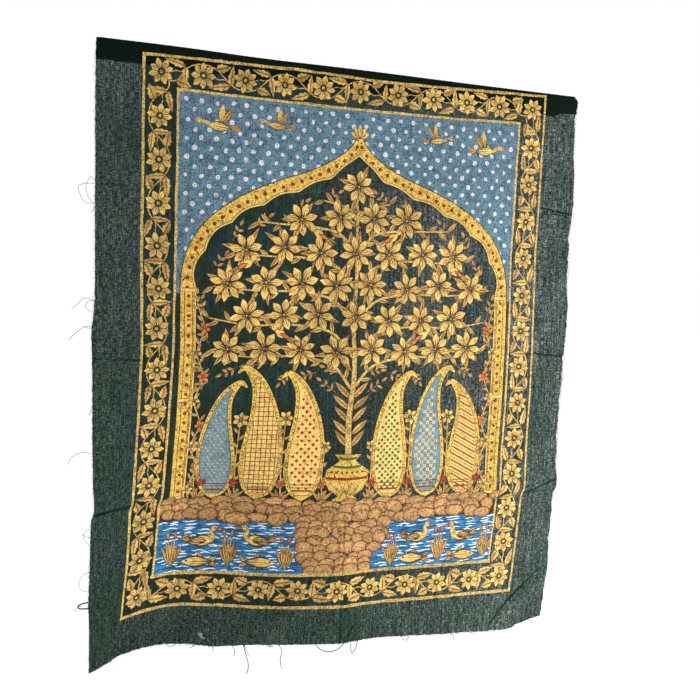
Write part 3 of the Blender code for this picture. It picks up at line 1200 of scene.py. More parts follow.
def paint_picture(painting):
    painting.lay(whole_line(INNER_LINE), "green_ground")
    paint_sky(painting)
    paint_arch(painting)
    paint_tree(painting)
    for side in (-1, 1):
        paint_creeper(painting, side)
    for across, width, height, bend, *rest in MANGOES:
        mango(painting, on_side(1, (across, BANK - 4)), width, height, bend, *rest[:4])
        mango(painting, on_side(-1, (across, BANK - 4)), width, height, -bend, *rest[4:])
    paint_jar(painting)
    paint_grass(painting)
    paint_pools(painting)
    paint_bank(painting)


def paint_all():
    painting = Painting()
    paint_picture(painting)
    paint_border(painting)
    return painting


# The sheet itself: the painting and the cloth as one net of triangles, on both faces.

FRONT_GRID = 0.0118
BACK_GRID = 0.0200
CUT_STEP = 0.0042
FOOT_STEPS = 216


def both_ways(*spots):
    return tuple(-spot for spot in reversed(spots)) + spots


# How far to each side of the top fold, and of a crease, the net has rows of places.
ROW_SPOTS = both_ways(0.0004, 0.0012, 0.002, 0.0036)
CREASE_SPOTS = both_ways(0.001, 0.003, 0.006)
STEP_SPOTS = both_ways(0.001, 0.003, 0.006, 0.010, 0.015, 0.022)
SOFT_SPOTS = both_ways(0.0007, 0.0022, 0.0052)


def cut_outline():
    """The cloth's cut edge all round, with the small unevenness of a raw cut."""
    edge = random.Random(5)
    left, foot, right, top = [], [], [], []
    wander = 0.0
    for down in np.arange(-FLAP + 0.003, DROP - 0.003, CUT_STEP):
        wander = 0.84 * wander + edge.uniform(-0.0012, 0.0012)
        left.append((-table(CUT_SIDES, down, 1) + edge.uniform(-0.0006, 0.0004), down))
        right.append((CLOTH_WIDTH + table(CUT_SIDES, down, 2) + wander + edge.uniform(-0.0004, 0.0006), down))
    low_left = -table(CUT_SIDES, DROP, 1)
    low_right = CLOTH_WIDTH + table(CUT_SIDES, DROP, 2)
    for share in np.linspace(0, 1, FOOT_STEPS):
        across = share * CLOTH_WIDTH
        hung = DROP + table(CUT_FOOT, across) + edge.uniform(-0.0006, 0.0008)
        foot.append((low_left + share * (low_right - low_left), hung))
        hem = -FLAP - table(CUT_FLAP, across) + edge.uniform(-0.0005, 0.0004)
        side = -table(CUT_SIDES, -FLAP, 1) * (1 - share) + (CLOTH_WIDTH + table(CUT_SIDES, -FLAP, 2)) * share
        top.append((side, hem))
    return np.array(left + foot + right[::-1] + top[::-1])


def grid_spots(gap):
    """Places inside the cloth that let the net bend: close at the fold and the creases, wide between them."""
    rows = [(down, gap) for down in np.arange(-FLAP, DROP + 0.02, gap) if abs(down) > 0.004]
    rows += [(down, gap) for down in ROW_SPOTS]
    for crease_down, _, _, is_step in CREASES_ACROSS:
        beside = STEP_SPOTS if is_step else CREASE_SPOTS
        rows = [row for row in rows if abs(row[0] - crease_down) > beside[-1] + 0.0025]
        rows += [(crease_down + spot, FRONT_GRID if is_step else gap) for spot in beside]
    spots = []
    for k, (down, apart) in enumerate(rows):
        columns = np.arange(-0.012, CLOTH_WIDTH + 0.022, apart) + apart / 2 * (k % 2)
        spots += [(across, down) for across in columns]
    for x0, y0, x1, y1, *_ in SOFT_CREASES:
        length = math.hypot(x1 - x0, y1 - y0)
        run = np.array([x1 - x0, y1 - y0]) / length
        for along in np.arange(0.002, length, 0.007):
            at = np.array([x0, y0]) + run * along
            spots += [tuple(at + run[::-1] * [1, -1] * aside) for aside in SOFT_SPOTS]
    return np.array(spots)


def topmost(owners, centres, shapes):
    """The last laid outline that really holds each triangle's centre, of those that the net names for it."""
    chosen = np.array([names[0] for names in owners])
    level = np.zeros(len(owners), int)
    doubtful = np.flatnonzero(chosen)
    while len(doubtful):
        doubtful = doubtful[np.argsort(chosen[doubtful], kind="stable")]
        starts = np.flatnonzero(np.diff(chosen[doubtful], prepend=-1))
        groups = np.split(doubtful, starts[1:])
        wrong = [group[~within(shapes[chosen[group[0]]], centres[group])] for group in groups]
        doubtful = np.concatenate(wrong)
        level[doubtful] += 1
        chosen[doubtful] = [owners[k][level[k]] if level[k] < len(owners[k]) else 0 for k in doubtful]
        doubtful = doubtful[chosen[doubtful] > 0]
    return chosen


def flat_net(rim, outlines, spots):
    """Cuts the flat cloth into triangles along the rim and all outlines. Gives places, triangles, the outline
    that shows on each triangle, and the places along the rim."""
    shapes = [rim] + outlines
    points = np.vstack(shapes + [spots])
    faces, start = [], 0
    for shape in shapes:
        faces.append(list(range(start, start + len(shape))))
        start += len(shape)
    flipped = [Vector((x, -y)) for x, y in points * 1000]
    places, _, triangles, came_from, _, lies_in = delaunay_2d_cdt(flipped, [], faces, 1, 0.01, True)
    kept = [k for k, owners in enumerate(lies_in) if 0 in owners]
    triangles = np.array([triangles[k] for k in kept])
    places = np.array([(p.x, -p.y) for p in places]) / 1000
    owner = topmost([sorted(lies_in[k], reverse=True) for k in kept], places[triangles].mean(1), shapes)
    used, triangles = np.unique(triangles, return_inverse=True)
    rim_at = {}
    for k, place in enumerate(used):
        for source in came_from[place]:
            if source < len(rim):
                rim_at[source] = k
    return places[used], triangles.reshape(-1, 3), owner, [rim_at[k] for k in range(len(rim))]


def rim_steps(triangles, count):
    """Which place follows each along the net's rim. Where paint crosses the rim, the net has more of them."""
    sides = np.vstack([triangles[:, [0, 1]], triangles[:, [1, 2]], triangles[:, [2, 0]]])
    ahead, back = sides[:, 0] * count + sides[:, 1], sides[:, 1] * count + sides[:, 0]
    return dict(sides[~np.isin(ahead, back)].tolist())


def cut_edge(after, front_rim, back_rim):
    """The triangles between the two faces, with the front's extra places along the rim."""
    edge = []
    for k in range(len(front_rim)):
        last, place = front_rim[k], front_rim[k - 1]
        edge.append((last, back_rim[k - 1], back_rim[k]))
        while place != last:
            edge.append((after[place], place, back_rim[k - 1]))
            place = after[place]
    return np.array(edge)


def brush_places(at, marks):
    """How far along its brush mark each place is, and how far aside from it, as shares of the mark's size."""
    run = marks[:, 2:4] - marks[:, :2]
    length = np.linalg.norm(run, axis=1)
    run /= length[:, None]
    offset = at / MM - marks[:, :2]
    along = (offset * run).sum(1) / length
    aside = (offset[:, 1] * run[:, 0] - offset[:, 0] * run[:, 1]) / marks[:, 4]
    return np.column_stack([along, aside])


# The two faces side by side on one square: a margin, the room that the flat cloth needs, the front's share of
# the square, and then where the back starts and its share.
BAKE_MARGIN = 0.012
BAKE_ROOM = (CLOTH_WIDTH + 0.030, DROP + FLAP + 0.040)
BAKE_FRONT = 0.84
BAKE_BACK_AT = 0.845
BAKE_BACK = 0.15


def bake_places(at, behind):
    places = at / BAKE_ROOM + [BAKE_MARGIN, (FLAP + BAKE_MARGIN) / BAKE_ROOM[1]]
    places[:, 0] = np.where(behind, BAKE_BACK_AT + places[:, 0] * BAKE_BACK, places[:, 0] * BAKE_FRONT)
    return places


def add_uv(mesh, name, places):
    mesh.uv_layers.new(name=name).data.foreach_set("uv", places.astype(np.float32).ravel())


def add_piece(mesh):
    piece = bpy.data.objects.new(mesh.name, mesh)
    bpy.context.scene.collection.objects.link(piece)
    return piece


def build_sheet(painting, finishes):
    """The painted face, the plain face behind it and the cut edge between them, as one closed thin sheet."""
    rim = cut_outline()
    if twice_area(rim) > 0:
        rim = rim[::-1]
    outlines = [outline * MM for outline in painting.outlines]
    front, front_tris, owner, front_rim = flat_net(rim, outlines, grid_spots(FRONT_GRID))
    back, back_tris, _, back_rim = flat_net(rim, [], grid_spots(BACK_GRID))
    out = np.vstack([faces_out(front), -faces_out(back)])
    flat = np.vstack([front, back])
    points = hang(flat) + out * SHEET_THICKNESS / 2
    shift = len(front)
    edge = cut_edge(rim_steps(front_tris, shift), front_rim, [place + shift for place in back_rim])
    triangles = np.vstack([front_tris, back_tris[:, ::-1] + shift, edge])
    mesh = bpy.data.meshes.new("painted_sheet")
    mesh.from_pydata(points.tolist(), [], triangles.tolist())
    paints = sorted(set(painting.paints) | {"dyed_cotton"})
    for name in paints:
        mesh.materials.append(finishes[name])
    slots = np.array([paints.index(name) for name in ["dyed_cotton"] + painting.paints])
    shown = np.concatenate([owner, np.zeros(len(triangles) - len(owner), int)])
    mesh.polygons.foreach_set("material_index", slots[shown].astype(np.int32))
    mesh.polygons.foreach_set("use_smooth", np.ones(len(triangles), bool))
    corners = np.empty(len(triangles) * 3, np.int32)
    mesh.loops.foreach_get("vertex_index", corners)
    shown = np.repeat(shown, 3)
    add_uv(mesh, "cloth", flat[corners])
    add_uv(mesh, "brush", brush_places(flat[corners], np.array([(0, 0, 1, 0, 1)] + painting.marks)[shown]))
    add_uv(mesh, "OFBake", bake_places(flat[corners], corners >= shift))
    # Each outline's touch_and_shade: its paint's own brightness, and along the border painted light and
    # shade.
    touch_and_shade = np.array([1.0] + painting.touches)[shown].astype(np.float32)
    mesh.attributes.new("touch_and_shade", "FLOAT", "CORNER").data.foreach_set("value", touch_and_shade)
    mesh.normals_split_custom_set_from_vertices(out.tolist())
    mesh.update()
    return add_piece(mesh)


# Loose yarns that hang from the raw edges. Each row is (edge, place along it, thickness), and then the yarn's
# path as (out from the edge, along it), all in millimetres.
LOOSE_YARNS = (
    (("left", 233, 0.34), (0, 0), (14, 0), (26, 6), (23, 21), (15, 31), (0, 34)),
    (("left", 228, 0.34), (0, 0), (7, -6), (11, 0), (15, 13), (9, 30), (0, 38)),
    (("left", 268, 0.30), (0, 0), (3, 8), (7, 14)),
    (("left", 471, 0.48), (-3, 0), (11, -1), (24, 8), (37, 22)),
    (("left", 473, 0.30), (0, 0), (7, -1), (15, -5)),
    (("left", 426, 0.30), (0, 0), (10, 1), (14, 10), (7, 17), (0, 20)),
    (("left", 425, 0.34), (0, 0), (17, -3), (26, 6), (35, 16)),
    (("left", 688, 0.40), (0, 0), (13, -4), (27, -1), (36, 6), (41, 17)),
    (("left", 817, 0.34), (0, 0), (9, 4), (12, 14), (6, 24), (0, 33)),
    (("left", 828, 0.30), (0, 6), (11, 0), (14, -4)),
    (("left", 893, 0.34), (0, 0), (11, 4), (17, 17), (12, 29), (0, 35)),
    (("left", 946, 1.15), (-2, 0), (10, 0), (17, 3), (14, 8), (-2, 11)),
    (("left", 950, 0.40), (10, 1), (17, 0), (24, 8)),
    (("left", 610, 0.25), (0, 0), (4, 5), (5, 11)),
    (("foot", 240, 0.36), (0, 0), (10, -1)),
    (("foot", 208, 0.25), (0, 0), (3, -3), (6, -9)),
    (("foot", 158, 0.25), (0, 0), (4, 5), (4, 12), (0, 17)),
    (("foot", 273, 0.40), (0, 0), (9, 4), (21, 3)),
    (("foot", 292, 0.48), (-2, 0), (14, 4), (32, 9), (48, 10), (58, 7)),
    (("foot", 293, 0.36), (0, 0), (10, 5), (22, 10)),
    (("foot", 355, 0.44), (0, 0), (11, 5), (30, 3), (48, 7)),
    (("foot", 335, 0.25), (0, 0), (4, 4), (2, 11)),
    (("foot", 420, 0.50), (-1, 0), (9, 9), (14, 22), (10, 38), (1, 50), (-11, 62), (-22, 70)),
    (("foot", 487, 0.44), (-22, 0), (-33, 9), (-22, 14), (-1, 15), (14, 12), (22, 4), (2, 2)),
    (("foot", 599, 0.38), (0, 0), (6, 5), (8, 12), (0, 19)),
    (("foot", 709, 0.38), (0, 0), (7, 8), (15, 8)),
    (("foot", 760, 0.25), (0, 0), (5, -3)),
    (("foot", 880, 0.30), (0, 0), (6, 4)),
    (("foot", 893, 0.30), (0, 0), (5, 6), (7, 12)),
    (("right", 231, 0.30), (0, 0), (5, -2), (9, 0)),
    (("right", 233, 0.30), (0, 0), (6, 2)),
    (("right", 556, 0.30), (0, 0), (4, 3), (3, 9), (0, 12)),
    (("right", 414, 0.25), (0, 0), (3, 4), (5, 5)),
    (("right", 690, 0.25), (0, 0), (4, 5)),
)
# How much each edge's loose yarns have untwisted and spread.
YARN_SPREAD = {"left": 2.4, "foot": 4.0, "right": 2.4}
THINNEST_YARN = 0.36
# How far forward a yarn bows, in metres: the least, and then by its length.
YARN_BOW = 0.0008
YARN_BOW_SHARE = 0.010
FRAY_GAP = 1.6
# Each row is (edge, where its fray starts and ends, how thick the short ends are), in millimetres.
FRAYED_EDGES = (("left", 8, 1076, 0.55), ("right", 12, 1070, 0.55), ("foot", 6, 908, 0.75))


def edge_place(edge, at, out, along):
    """A place beside one of the cut edges, in metres of the flat cloth."""
    if edge == "foot":
        across = (at + along) * MM
        return across, DROP + table(CUT_FOOT, across) + out * MM
    down = (at + along) * MM
    if edge == "left":
        return -table(CUT_SIDES, down, 1) - out * MM, down
    return CLOTH_WIDTH + table(CUT_SIDES, down, 2) + out * MM, down


def thread(path, thickness, mesh):
    """Adds one yarn along a path in space, as a thin round strand that tapers at its ends."""
    run = unit(np.gradient(path, axis=0))
    side = unit(np.cross(run, [0, 1, 0.05]))
    deep = np.cross(run, side)
    radius = np.full(len(path), thickness / 2 * MM)
    radius[0] *= 0.7
    radius[-1] *= 0.45
    rings = []
    for angle in (0.0, math.tau / 3, 2 * math.tau / 3):
        corner = path + (side * math.cos(angle) + deep * math.sin(angle)) * radius[:, None]
        rings.append([mesh.verts.new(point) for point in corner])
    for k in range(len(path) - 1):
        for i in range(3):
            a, b = rings[i], rings[(i + 1) % 3]
            mesh.faces.new((a[k], b[k], b[k + 1], a[k + 1]))
    mesh.faces.new([ring[0] for ring in rings][::-1])
    mesh.faces.new([ring[-1] for ring in rings])


def build_yarns(finish):
    """The loose yarns and the short frayed ends along the raw edges."""
    frays = random.Random(17)
    mesh = bmesh.new()
    for (edge, at, thickness), *route in LOOSE_YARNS:
        flat = np.array([edge_place(edge, at, out, along) for out, along in route])
        path = hang(smooth(flat, 5))
        share, length = run_share(path)
        bow = YARN_BOW + YARN_BOW_SHARE * length * np.sin(np.pi * share) * (1 + 3 * frays.random())
        path[:, 1] -= bow * (1 if flat[-1, 1] < DROP - 0.03 else 1.2)
        thread(path, max(thickness, THINNEST_YARN) * YARN_SPREAD[edge], mesh)
    for edge, start, end, thickness in FRAYED_EDGES:
        at = start
        while at < end:
            out = 1.1 + 3.8 * frays.random() ** 3
            lean = frays.uniform(-1.8, 1.8)
            route = ((-0.8, 0), (out * 0.6, lean * 0.3), (out, lean))
            path = hang(np.array([edge_place(edge, at, *place) for place in route]))
            path[:, 1] += frays.uniform(-0.0006, 0.0006)
            thread(path, thickness, mesh)
            at += FRAY_GAP * frays.uniform(0.3, 1.7)
    bmesh.ops.recalc_face_normals(mesh, faces=mesh.faces)
    data = bpy.data.meshes.new("loose_yarns")
    mesh.to_mesh(data)
    mesh.free()
    data.materials.append(finish)
    return add_piece(data)


# Finishes.

def colour(red, green, blue):
    """A colour as the eye reads it, 0 to 255, in the renderer's own scale."""
    def linear(level):
        level /= 255
        return level / 12.92 if level <= 0.04045 else ((level + 0.055) / 1.055) ** 2.4
    return (linear(red), linear(green), linear(blue), 1.0)


class Level:
    """A number that varies over a surface. Sums on it add Math nodes."""

    def __init__(self, finish, socket):
        self.finish, self.socket = finish, socket

    def sum(self, operation, first, second):
        return self.finish.node("ShaderNodeMath", {"operation": operation}, {0: first, 1: second})

    def __add__(self, other):
        return self.sum("ADD", self, other)

    def __radd__(self, other):
        return self.sum("ADD", other, self)

    def __sub__(self, other):
        return self.sum("SUBTRACT", self, other)

    def __rsub__(self, other):
        return self.sum("SUBTRACT", other, self)

    def __mul__(self, other):
        return self.sum("MULTIPLY", self, other)

    def __rmul__(self, other):
        return self.sum("MULTIPLY", other, self)

    def __pow__(self, other):
        return self.sum("POWER", self, other)

    def __abs__(self):
        return self.sum("ABSOLUTE", self, 0.0)


class Finish:
    """One material and its nodes."""

    def __init__(self, name):
        self.material = bpy.data.materials.new(name)
        self.material.use_nodes = True
        self.tree = self.material.node_tree
        self.shader = self.tree.nodes["Principled BSDF"]

    def plug(self, socket, value):
        if isinstance(value, Level):
            self.tree.links.new(value.socket, socket)
        else:
            socket.default_value = value

    def node(self, kind, settings=None, values=None, output=0):
        node = self.tree.nodes.new(kind)
        for name, value in (settings or {}).items():
            setattr(node, name, value)
        for key, value in (values or {}).items():
            self.plug(node.inputs[key], value)
        return Level(self, node.outputs[output])

    def set(self, **values):
        for name, value in values.items():
            self.plug(self.shader.inputs[name.replace("_", " ")], value)

    def uv(self, name, across, down, shift=0.0):
        """A UV map, stretched and shifted, as a vector."""
        place = self.node("ShaderNodeUVMap", {"uv_map": name})
        stretched = {0: place, 1: (across, down, 1.0), 2: (shift, shift * 0.7, 0.0)}
        return self.node("ShaderNodeVectorMath", {"operation": "MULTIPLY_ADD"}, stretched)

    def parts(self, name, across=1.0, down=1.0):
        """The two numbers of a UV map."""
        node = self.tree.nodes.new("ShaderNodeSeparateXYZ")
        self.plug(node.inputs[0], self.uv(name, across, down))
        return Level(self, node.outputs[0]), Level(self, node.outputs[1])

    def noise(self, across, down, shift=0.0, detail=2.0, rough=0.5):
        """Noise on the flat cloth, with about so many marks to the metre across and down."""
        place = self.uv("cloth", across, down, shift)
        values = {"Vector": place, "Scale": 1.0, "Detail": detail, "Roughness": rough}
        return self.node("ShaderNodeTexNoise", {"noise_dimensions": "2D"}, values)

    def between(self, value, low, high, to_low=0.0, to_high=1.0):
        """A smooth rise from to_low to to_high as value goes from low to high."""
        values = {0: value, 1: low, 2: high, 3: to_low, 4: to_high}
        return self.node("ShaderNodeMapRange", {"interpolation_type": "SMOOTHSTEP"}, values)

    def near(self, value, place, reach, most, within=0.0):
        """As much as most where value is within so much of a place, and nothing beyond reach of it."""
        return self.between(abs(value - place), within, reach, most, 0.0)

    def wave(self, value):
        return self.node("ShaderNodeMath", {"operation": "SINE"}, {0: value})

    def blend(self, share, first, second):
        settings = {"data_type": "RGBA", "clamp_factor": True}
        return self.node("ShaderNodeMix", settings, {0: share, 6: first, 7: second}, 2)

    def shade(self, tint, share):
        """A colour made darker or lighter by a varying share."""
        vector = self.node("ShaderNodeCombineXYZ", None, {0: share, 1: share, 2: share})
        return self.node("ShaderNodeVectorMath", {"operation": "MULTIPLY"}, {0: tint, 1: vector})


MILLIMETRES = 1000.0
YARN_PITCH = (1.1, 1.0)
YARN_RELIEF = 0.0003
COTTON_DARK = colour(9, 32, 20)
COTTON_WORN = colour(31, 67, 47)
COTTON_COOL = colour(13, 31, 34)
# The colour of the painted shade in the hollow at the lower left.
COTTON_HOLLOW_SHADE = colour(4, 14, 8)
COTTON_FADED = colour(33, 62, 57)
# Near-black painted shade, for the doubled strip along the top and for the shadow lines in the sharpest
# creases.
PAINTED_SHADE_GREEN = colour(0, 17, 8)
GROUND_DARK = colour(12, 27, 17)
GROUND_WORN = colour(34, 50, 34)
DUST = colour(150, 158, 148)
YARN_PALE = colour(48, 62, 54)
EDGE_BROWN = colour(56, 30, 18)


def yarns(finish):
    """The yarns of the plain weave: thick and thin places of the warp and of the weft."""
    warp = finish.noise(MILLIMETRES / 1.4, MILLIMETRES / 9.0, rough=0.6)
    weft = finish.noise(MILLIMETRES / 8.0, MILLIMETRES / 1.4, 7.3, rough=0.6)
    return warp, weft


def weave_bump(finish, warp, weft):
    """The relief of the yarns, over and under each other."""
    across, down = finish.parts("cloth", *(MILLIMETRES * math.tau / pitch for pitch in YARN_PITCH))
    height = finish.wave(across) * finish.wave(down) * 0.35 + warp + weft
    relief = {"Strength": 0.35, "Distance": YARN_RELIEF, "Height": height}
    finish.set(Normal=finish.node("ShaderNodeBump", None, relief))


def crease_marks(finish, width):
    """Where the cloth was folded for storage: 1 on the creases, 0 beside them."""
    across, down = finish.parts("cloth")
    marks = finish.near(across, CENTRE_CREASE, width, 0.7)
    for crease_down, _, _, is_step in CREASES_ACROSS:
        marks = marks + finish.near(down, crease_down, width, 1.0 if is_step else 0.45)
    return marks


def fold_shadow_lines(finish):
    """Painted shadow: dark lines in the sharpest of the small creases."""
    across, down = finish.parts("cloth")
    shake = finish.noise(110.0, 110.0) * 0.005 - 0.0025
    total = 0.0
    for x0, y0, x1, y1, _, _, width in SOFT_CREASES:
        if not width:
            continue
        length = math.hypot(x1 - x0, y1 - y0)
        cx, cy = (x1 - x0) / length, (y1 - y0) / length
        along = across * cx + down * cy - (x0 * cx + y0 * cy)
        aside = across * cy - down * cx - (x0 * cy - y0 * cx) + shake
        line = finish.near(along, length / 2, length / 2 + 0.006, 1.0, length / 2 - 0.004)
        total = total + line * finish.between(abs(aside), 0.0, width, 1.0, 0.0)
    return total


# Where the weave lets less light through. Each row is (share of across, share of down, the sum where that
# starts, the sum where it is full, how much less).
CLOSER_WEAVE = (
    (-1.0, 1.0, 0.35, 0.60, 0.05),
    (-1.0, 1.0, 0.80, 1.00, 0.09),
    (1.0, 1.0, 1.65, 1.85, 0.06),
)
# How far down the right margin lets a little less light through, in a darker band.
LESS_OPEN_DOWN = 0.165
# Where across a painted shade lies at the foot, beside the middle crease: there the weave lets less light
# through, so the cloth looks darker.
FOOT_SHADE_ACROSS = 0.487
# The middle of a pale smear on the lower margin, and the way that it runs.
SMEAR = (0.218, 1.067)
SMEAR_RUN = (0.66, 0.75)


def open_weave(finish, across, down, left, right, streaks):
    """How open the weave is, from left to right, with closer places, a painted shade at the foot beside the
    middle crease, and streaks along its yarns.
    """
    openness = finish.between(across - down * 0.15, 0.20, 0.68, left, right)
    openness = openness * (1.0 + finish.between(across + down * 0.6, 0.04, 0.18, 0.22, 0.0))
    for per_across, per_down, start, full, less in CLOSER_WEAVE:
        openness = openness - finish.between(across * per_across + down * per_down, start, full, 0.0, less)
    less_open = finish.near(down, LESS_OPEN_DOWN, 0.06, 0.20)
    openness = openness * (1.0 - less_open * finish.between(across, 0.82, 0.87))
    # Painted shade: beside the middle crease at the foot the weave lets less light through.
    foot_shade = finish.near(across, FOOT_SHADE_ACROSS, 0.032, 0.35, 0.005)
    openness = openness * (1.0 - foot_shade * finish.between(down, 1.005, 1.035))
    return openness * (1.0 + streaks * finish.between(across, 0.0, 0.8, 0.45, 1.0))


def dusty_smear(finish, across, down):
    run_across, run_down = SMEAR_RUN
    along = (across - SMEAR[0]) * run_across + (down - SMEAR[1]) * run_down
    aside = (across - SMEAR[0]) * run_down - (down - SMEAR[1]) * run_across
    smear = ((along * 0.40) ** 2.0 + aside ** 2.0) ** 0.5
    patchy = finish.noise(300.0, 240.0, 6.0)
    return finish.between(smear, 0.0018, 0.0046, 0.95, 0.0) * finish.between(patchy, 0.34, 0.56)


def uneven_dye(finish, across, down, fine, dark, worn, fade_and_shade):
    """Dark dye, worn paler where the yarns stand up, and turned a bluer green in places. Towards the lower
    left, where the cloth hangs in its hollow, a painted shade darkens the dye and its worn places.
    """
    lower_left_shade = down - across
    hue = finish.noise(21.0, 17.0, 11.0)
    deep = finish.blend(finish.between(hue - down * 0.16, 0.32, 0.50) * fade_and_shade, dark, COTTON_COOL)
    # Painted shade: towards the lower left, in the hollow, the dye is made darker.
    deep = finish.blend(finish.between(lower_left_shade, 0.74, 1.00, 0.0, 0.80) * fade_and_shade, deep, COTTON_HOLLOW_SHADE)
    patches = finish.noise(15.0, 12.0, 31.0)
    worn = finish.blend(finish.between(patches - down * 0.10, 0.40, 0.52) * fade_and_shade, worn, COTTON_FADED)
    # Painted shade: the worn places too are made darker towards the lower left.
    worn = finish.blend(finish.between(lower_left_shade, 0.62, 0.85, 0.0, 0.25) * fade_and_shade, worn, dark)
    return finish.blend(finish.between(fine, 0.42, 0.61), deep, worn)


def dyed_cotton(name="dyed_cotton", dark=COTTON_DARK, worn=COTTON_WORN, share=1.0, left=0.70, right=1.14,
                top=1.0, fade_and_shade=1.0):
    """Bare dyed cloth. Light from behind comes through between the yarns, more so at the right than at the
    left, and at its top as far as top says. Its dye has turned a bluer green in places, and a painted shade
    darkens it towards the lower left, both as far as fade_and_shade says. Painted shadow lines darken the
    sharpest creases."""
    finish = Finish(name)
    warp, weft = yarns(finish)
    fine = (warp + weft) * 0.5
    slow = finish.noise(9.0, 7.0, 2.0, 3.0)
    across, down = finish.parts("cloth")
    upright = finish.noise(MILLIMETRES / 3.0, MILLIMETRES / 70.0, 3.1, rough=0.6)
    level = finish.noise(MILLIMETRES / 60.0, MILLIMETRES / 3.0, 5.1, rough=0.6)
    streaks = finish.between(upright * 1.3 + level * 0.7, 0.70, 1.30, -0.38, 0.38)
    openness = open_weave(finish, across, down, left, right, streaks)
    gaps = finish.between(fine, 0.39, 0.63, 0.06, 0.40) * openness
    gaps = gaps * finish.between(slow, 0.3, 0.7, 0.88, 1.12)
    fold_shadows = fold_shadow_lines(finish)
    gaps = gaps * (1.0 - crease_marks(finish, 0.0035) * 0.6) * (1.0 - fold_shadows) * share
    gaps = gaps * finish.between(down, 0.055, 0.085, top, 1.0)
    tint = uneven_dye(finish, across, down, fine * 0.7 + upright * 0.3, dark, worn, fade_and_shade)
    # Painted shadow: the sharpest creases are drawn near black.
    tint = finish.blend(fold_shadows * 0.9, tint, PAINTED_SHADE_GREEN)
    dusty = dusty_smear(finish, across, down)
    tint = finish.blend(dusty, tint, DUST)
    finish.shader.inputs["Specular IOR Level"].default_value = 0.12
    finish.set(Base_Color=tint, Alpha=1.0 - gaps * (1.0 - dusty), Roughness=0.9)
    weave_bump(finish, warp, weft)
    return finish.material


def yarn_cotton():
    """Single dyed yarns, twisted, with paler dusty places."""
    finish = Finish("yarn_cotton")
    place = finish.node("ShaderNodeTexCoord", None, None, "Object")
    speckle = finish.node("ShaderNodeTexNoise", None, {"Vector": place, "Scale": 420.0, "Detail": 2.0})
    tint = finish.blend(finish.between(speckle, 0.35, 0.7), COTTON_DARK, YARN_PALE)
    finish.set(Base_Color=tint, Roughness=0.9)
    return finish.material


def drawn_edge(finish, fullest):
    """The brush line round a petal or a leaf: 1 along its edge."""
    along, aside = finish.parts("brush")
    bulge = finish.wave(along ** (math.log(0.5) / math.log(fullest)) * math.pi)
    drawn_in = finish.between(along, fullest, 1.0, 0.76, 0.68)
    return finish.between(abs(aside) - bulge * drawn_in, -0.10, 0.04, 0.0, 1.0)


PAINT_COVER = 0.975
PAINT_UNEVEN = 0.5
PAINT_WORN = 0.6


def painted(name, bright, deep, share, fullest):
    """A paint on the cloth: uneven brush work, worn where the yarns stand up, and the touch_and_shade of each
    motif, which along the border also holds painted light and shade. share(finish) gives how much of the deep
    colour shows, from the brush marks."""
    finish = Finish(name)
    warp, weft = yarns(finish)
    slow = finish.noise(62.0, 70.0, 1.0, 3.0, 0.6)
    deeper = finish.between(slow, 0.35, 0.75, 0.0, PAINT_UNEVEN)
    if share:
        deeper = deeper * 0.7 + share(finish)
    tint = finish.blend(deeper, bright, deep)
    touch_and_shade = finish.node("ShaderNodeAttribute", {"attribute_name": "touch_and_shade"}, None, 2)
    yarn = (warp + weft) * 0.5
    # Along the storage creases the paint is made darker: partly paint cracked on the fold, partly painted
    # crease shade.
    level = touch_and_shade * finish.between(yarn, 0.34, 0.66, 1.28, 0.69) * (1.0 - crease_marks(finish, 0.0022) * 0.3)
    tint = finish.shade(tint, level)
    if fullest:
        tint = finish.blend(drawn_edge(finish, fullest), tint, EDGE_BROWN)
    tint = finish.blend(finish.between(yarn + slow * 0.25, 0.67, 0.82, 0.0, PAINT_WORN), tint, COTTON_DARK)
    finish.shader.inputs["Specular IOR Level"].default_value = 0.2
    finish.set(Base_Color=tint, Alpha=PAINT_COVER, Roughness=0.75)
    weave_bump(finish, warp, weft)
    return finish.material


def petal_veins(finish):
    """Fine lines from the root of a petal, and a darker root."""
    along, aside = finish.parts("brush")
    wide = abs(aside)
    middle = finish.between(wide, 0.03, 0.15, 1.0, 0.0)
    veins = (middle + finish.near(wide, 0.42, 0.13, 0.8, 0.03)) * finish.between(along, 0.45, 0.85, 0.8, 0.0)
    return veins + finish.between(along, 0.0, 0.35, 0.5, 0.0)


def leaf_veins(finish):
    """A midrib with slanting side veins, and one half darker than the other."""
    along, aside = finish.parts("brush")
    wide = abs(aside)
    rib = finish.between(wide, 0.05, 0.20, 0.95, 0.0) * finish.between(along, 0.60, 0.90, 1.0, 0.3)
    veins = finish.between(finish.wave(along * 36.0 - wide * 7.0), 0.55, 0.95, 0.0, 0.35)
    return rib + veins + finish.between(aside, -0.6, 0.4, 0.0, 0.25)


def rounding(finish):
    """A drawn line just inside a stone's edge, a shaded lower side, and speckles."""
    along, aside = finish.parts("brush")
    out = ((along * 2.0 - 1.0) ** 2.0 + aside ** 2.0) ** 0.5
    mottle = finish.noise(210.0, 240.0, 3.0, 3.0, 0.7)
    shaded = finish.between(out, 0.60, 1.0, 0.0, 0.30) + finish.between(aside, 0.0, 0.9, 0.0, 0.22)
    return shaded + finish.between(mottle, 0.50, 0.66, 0.0, 0.62)


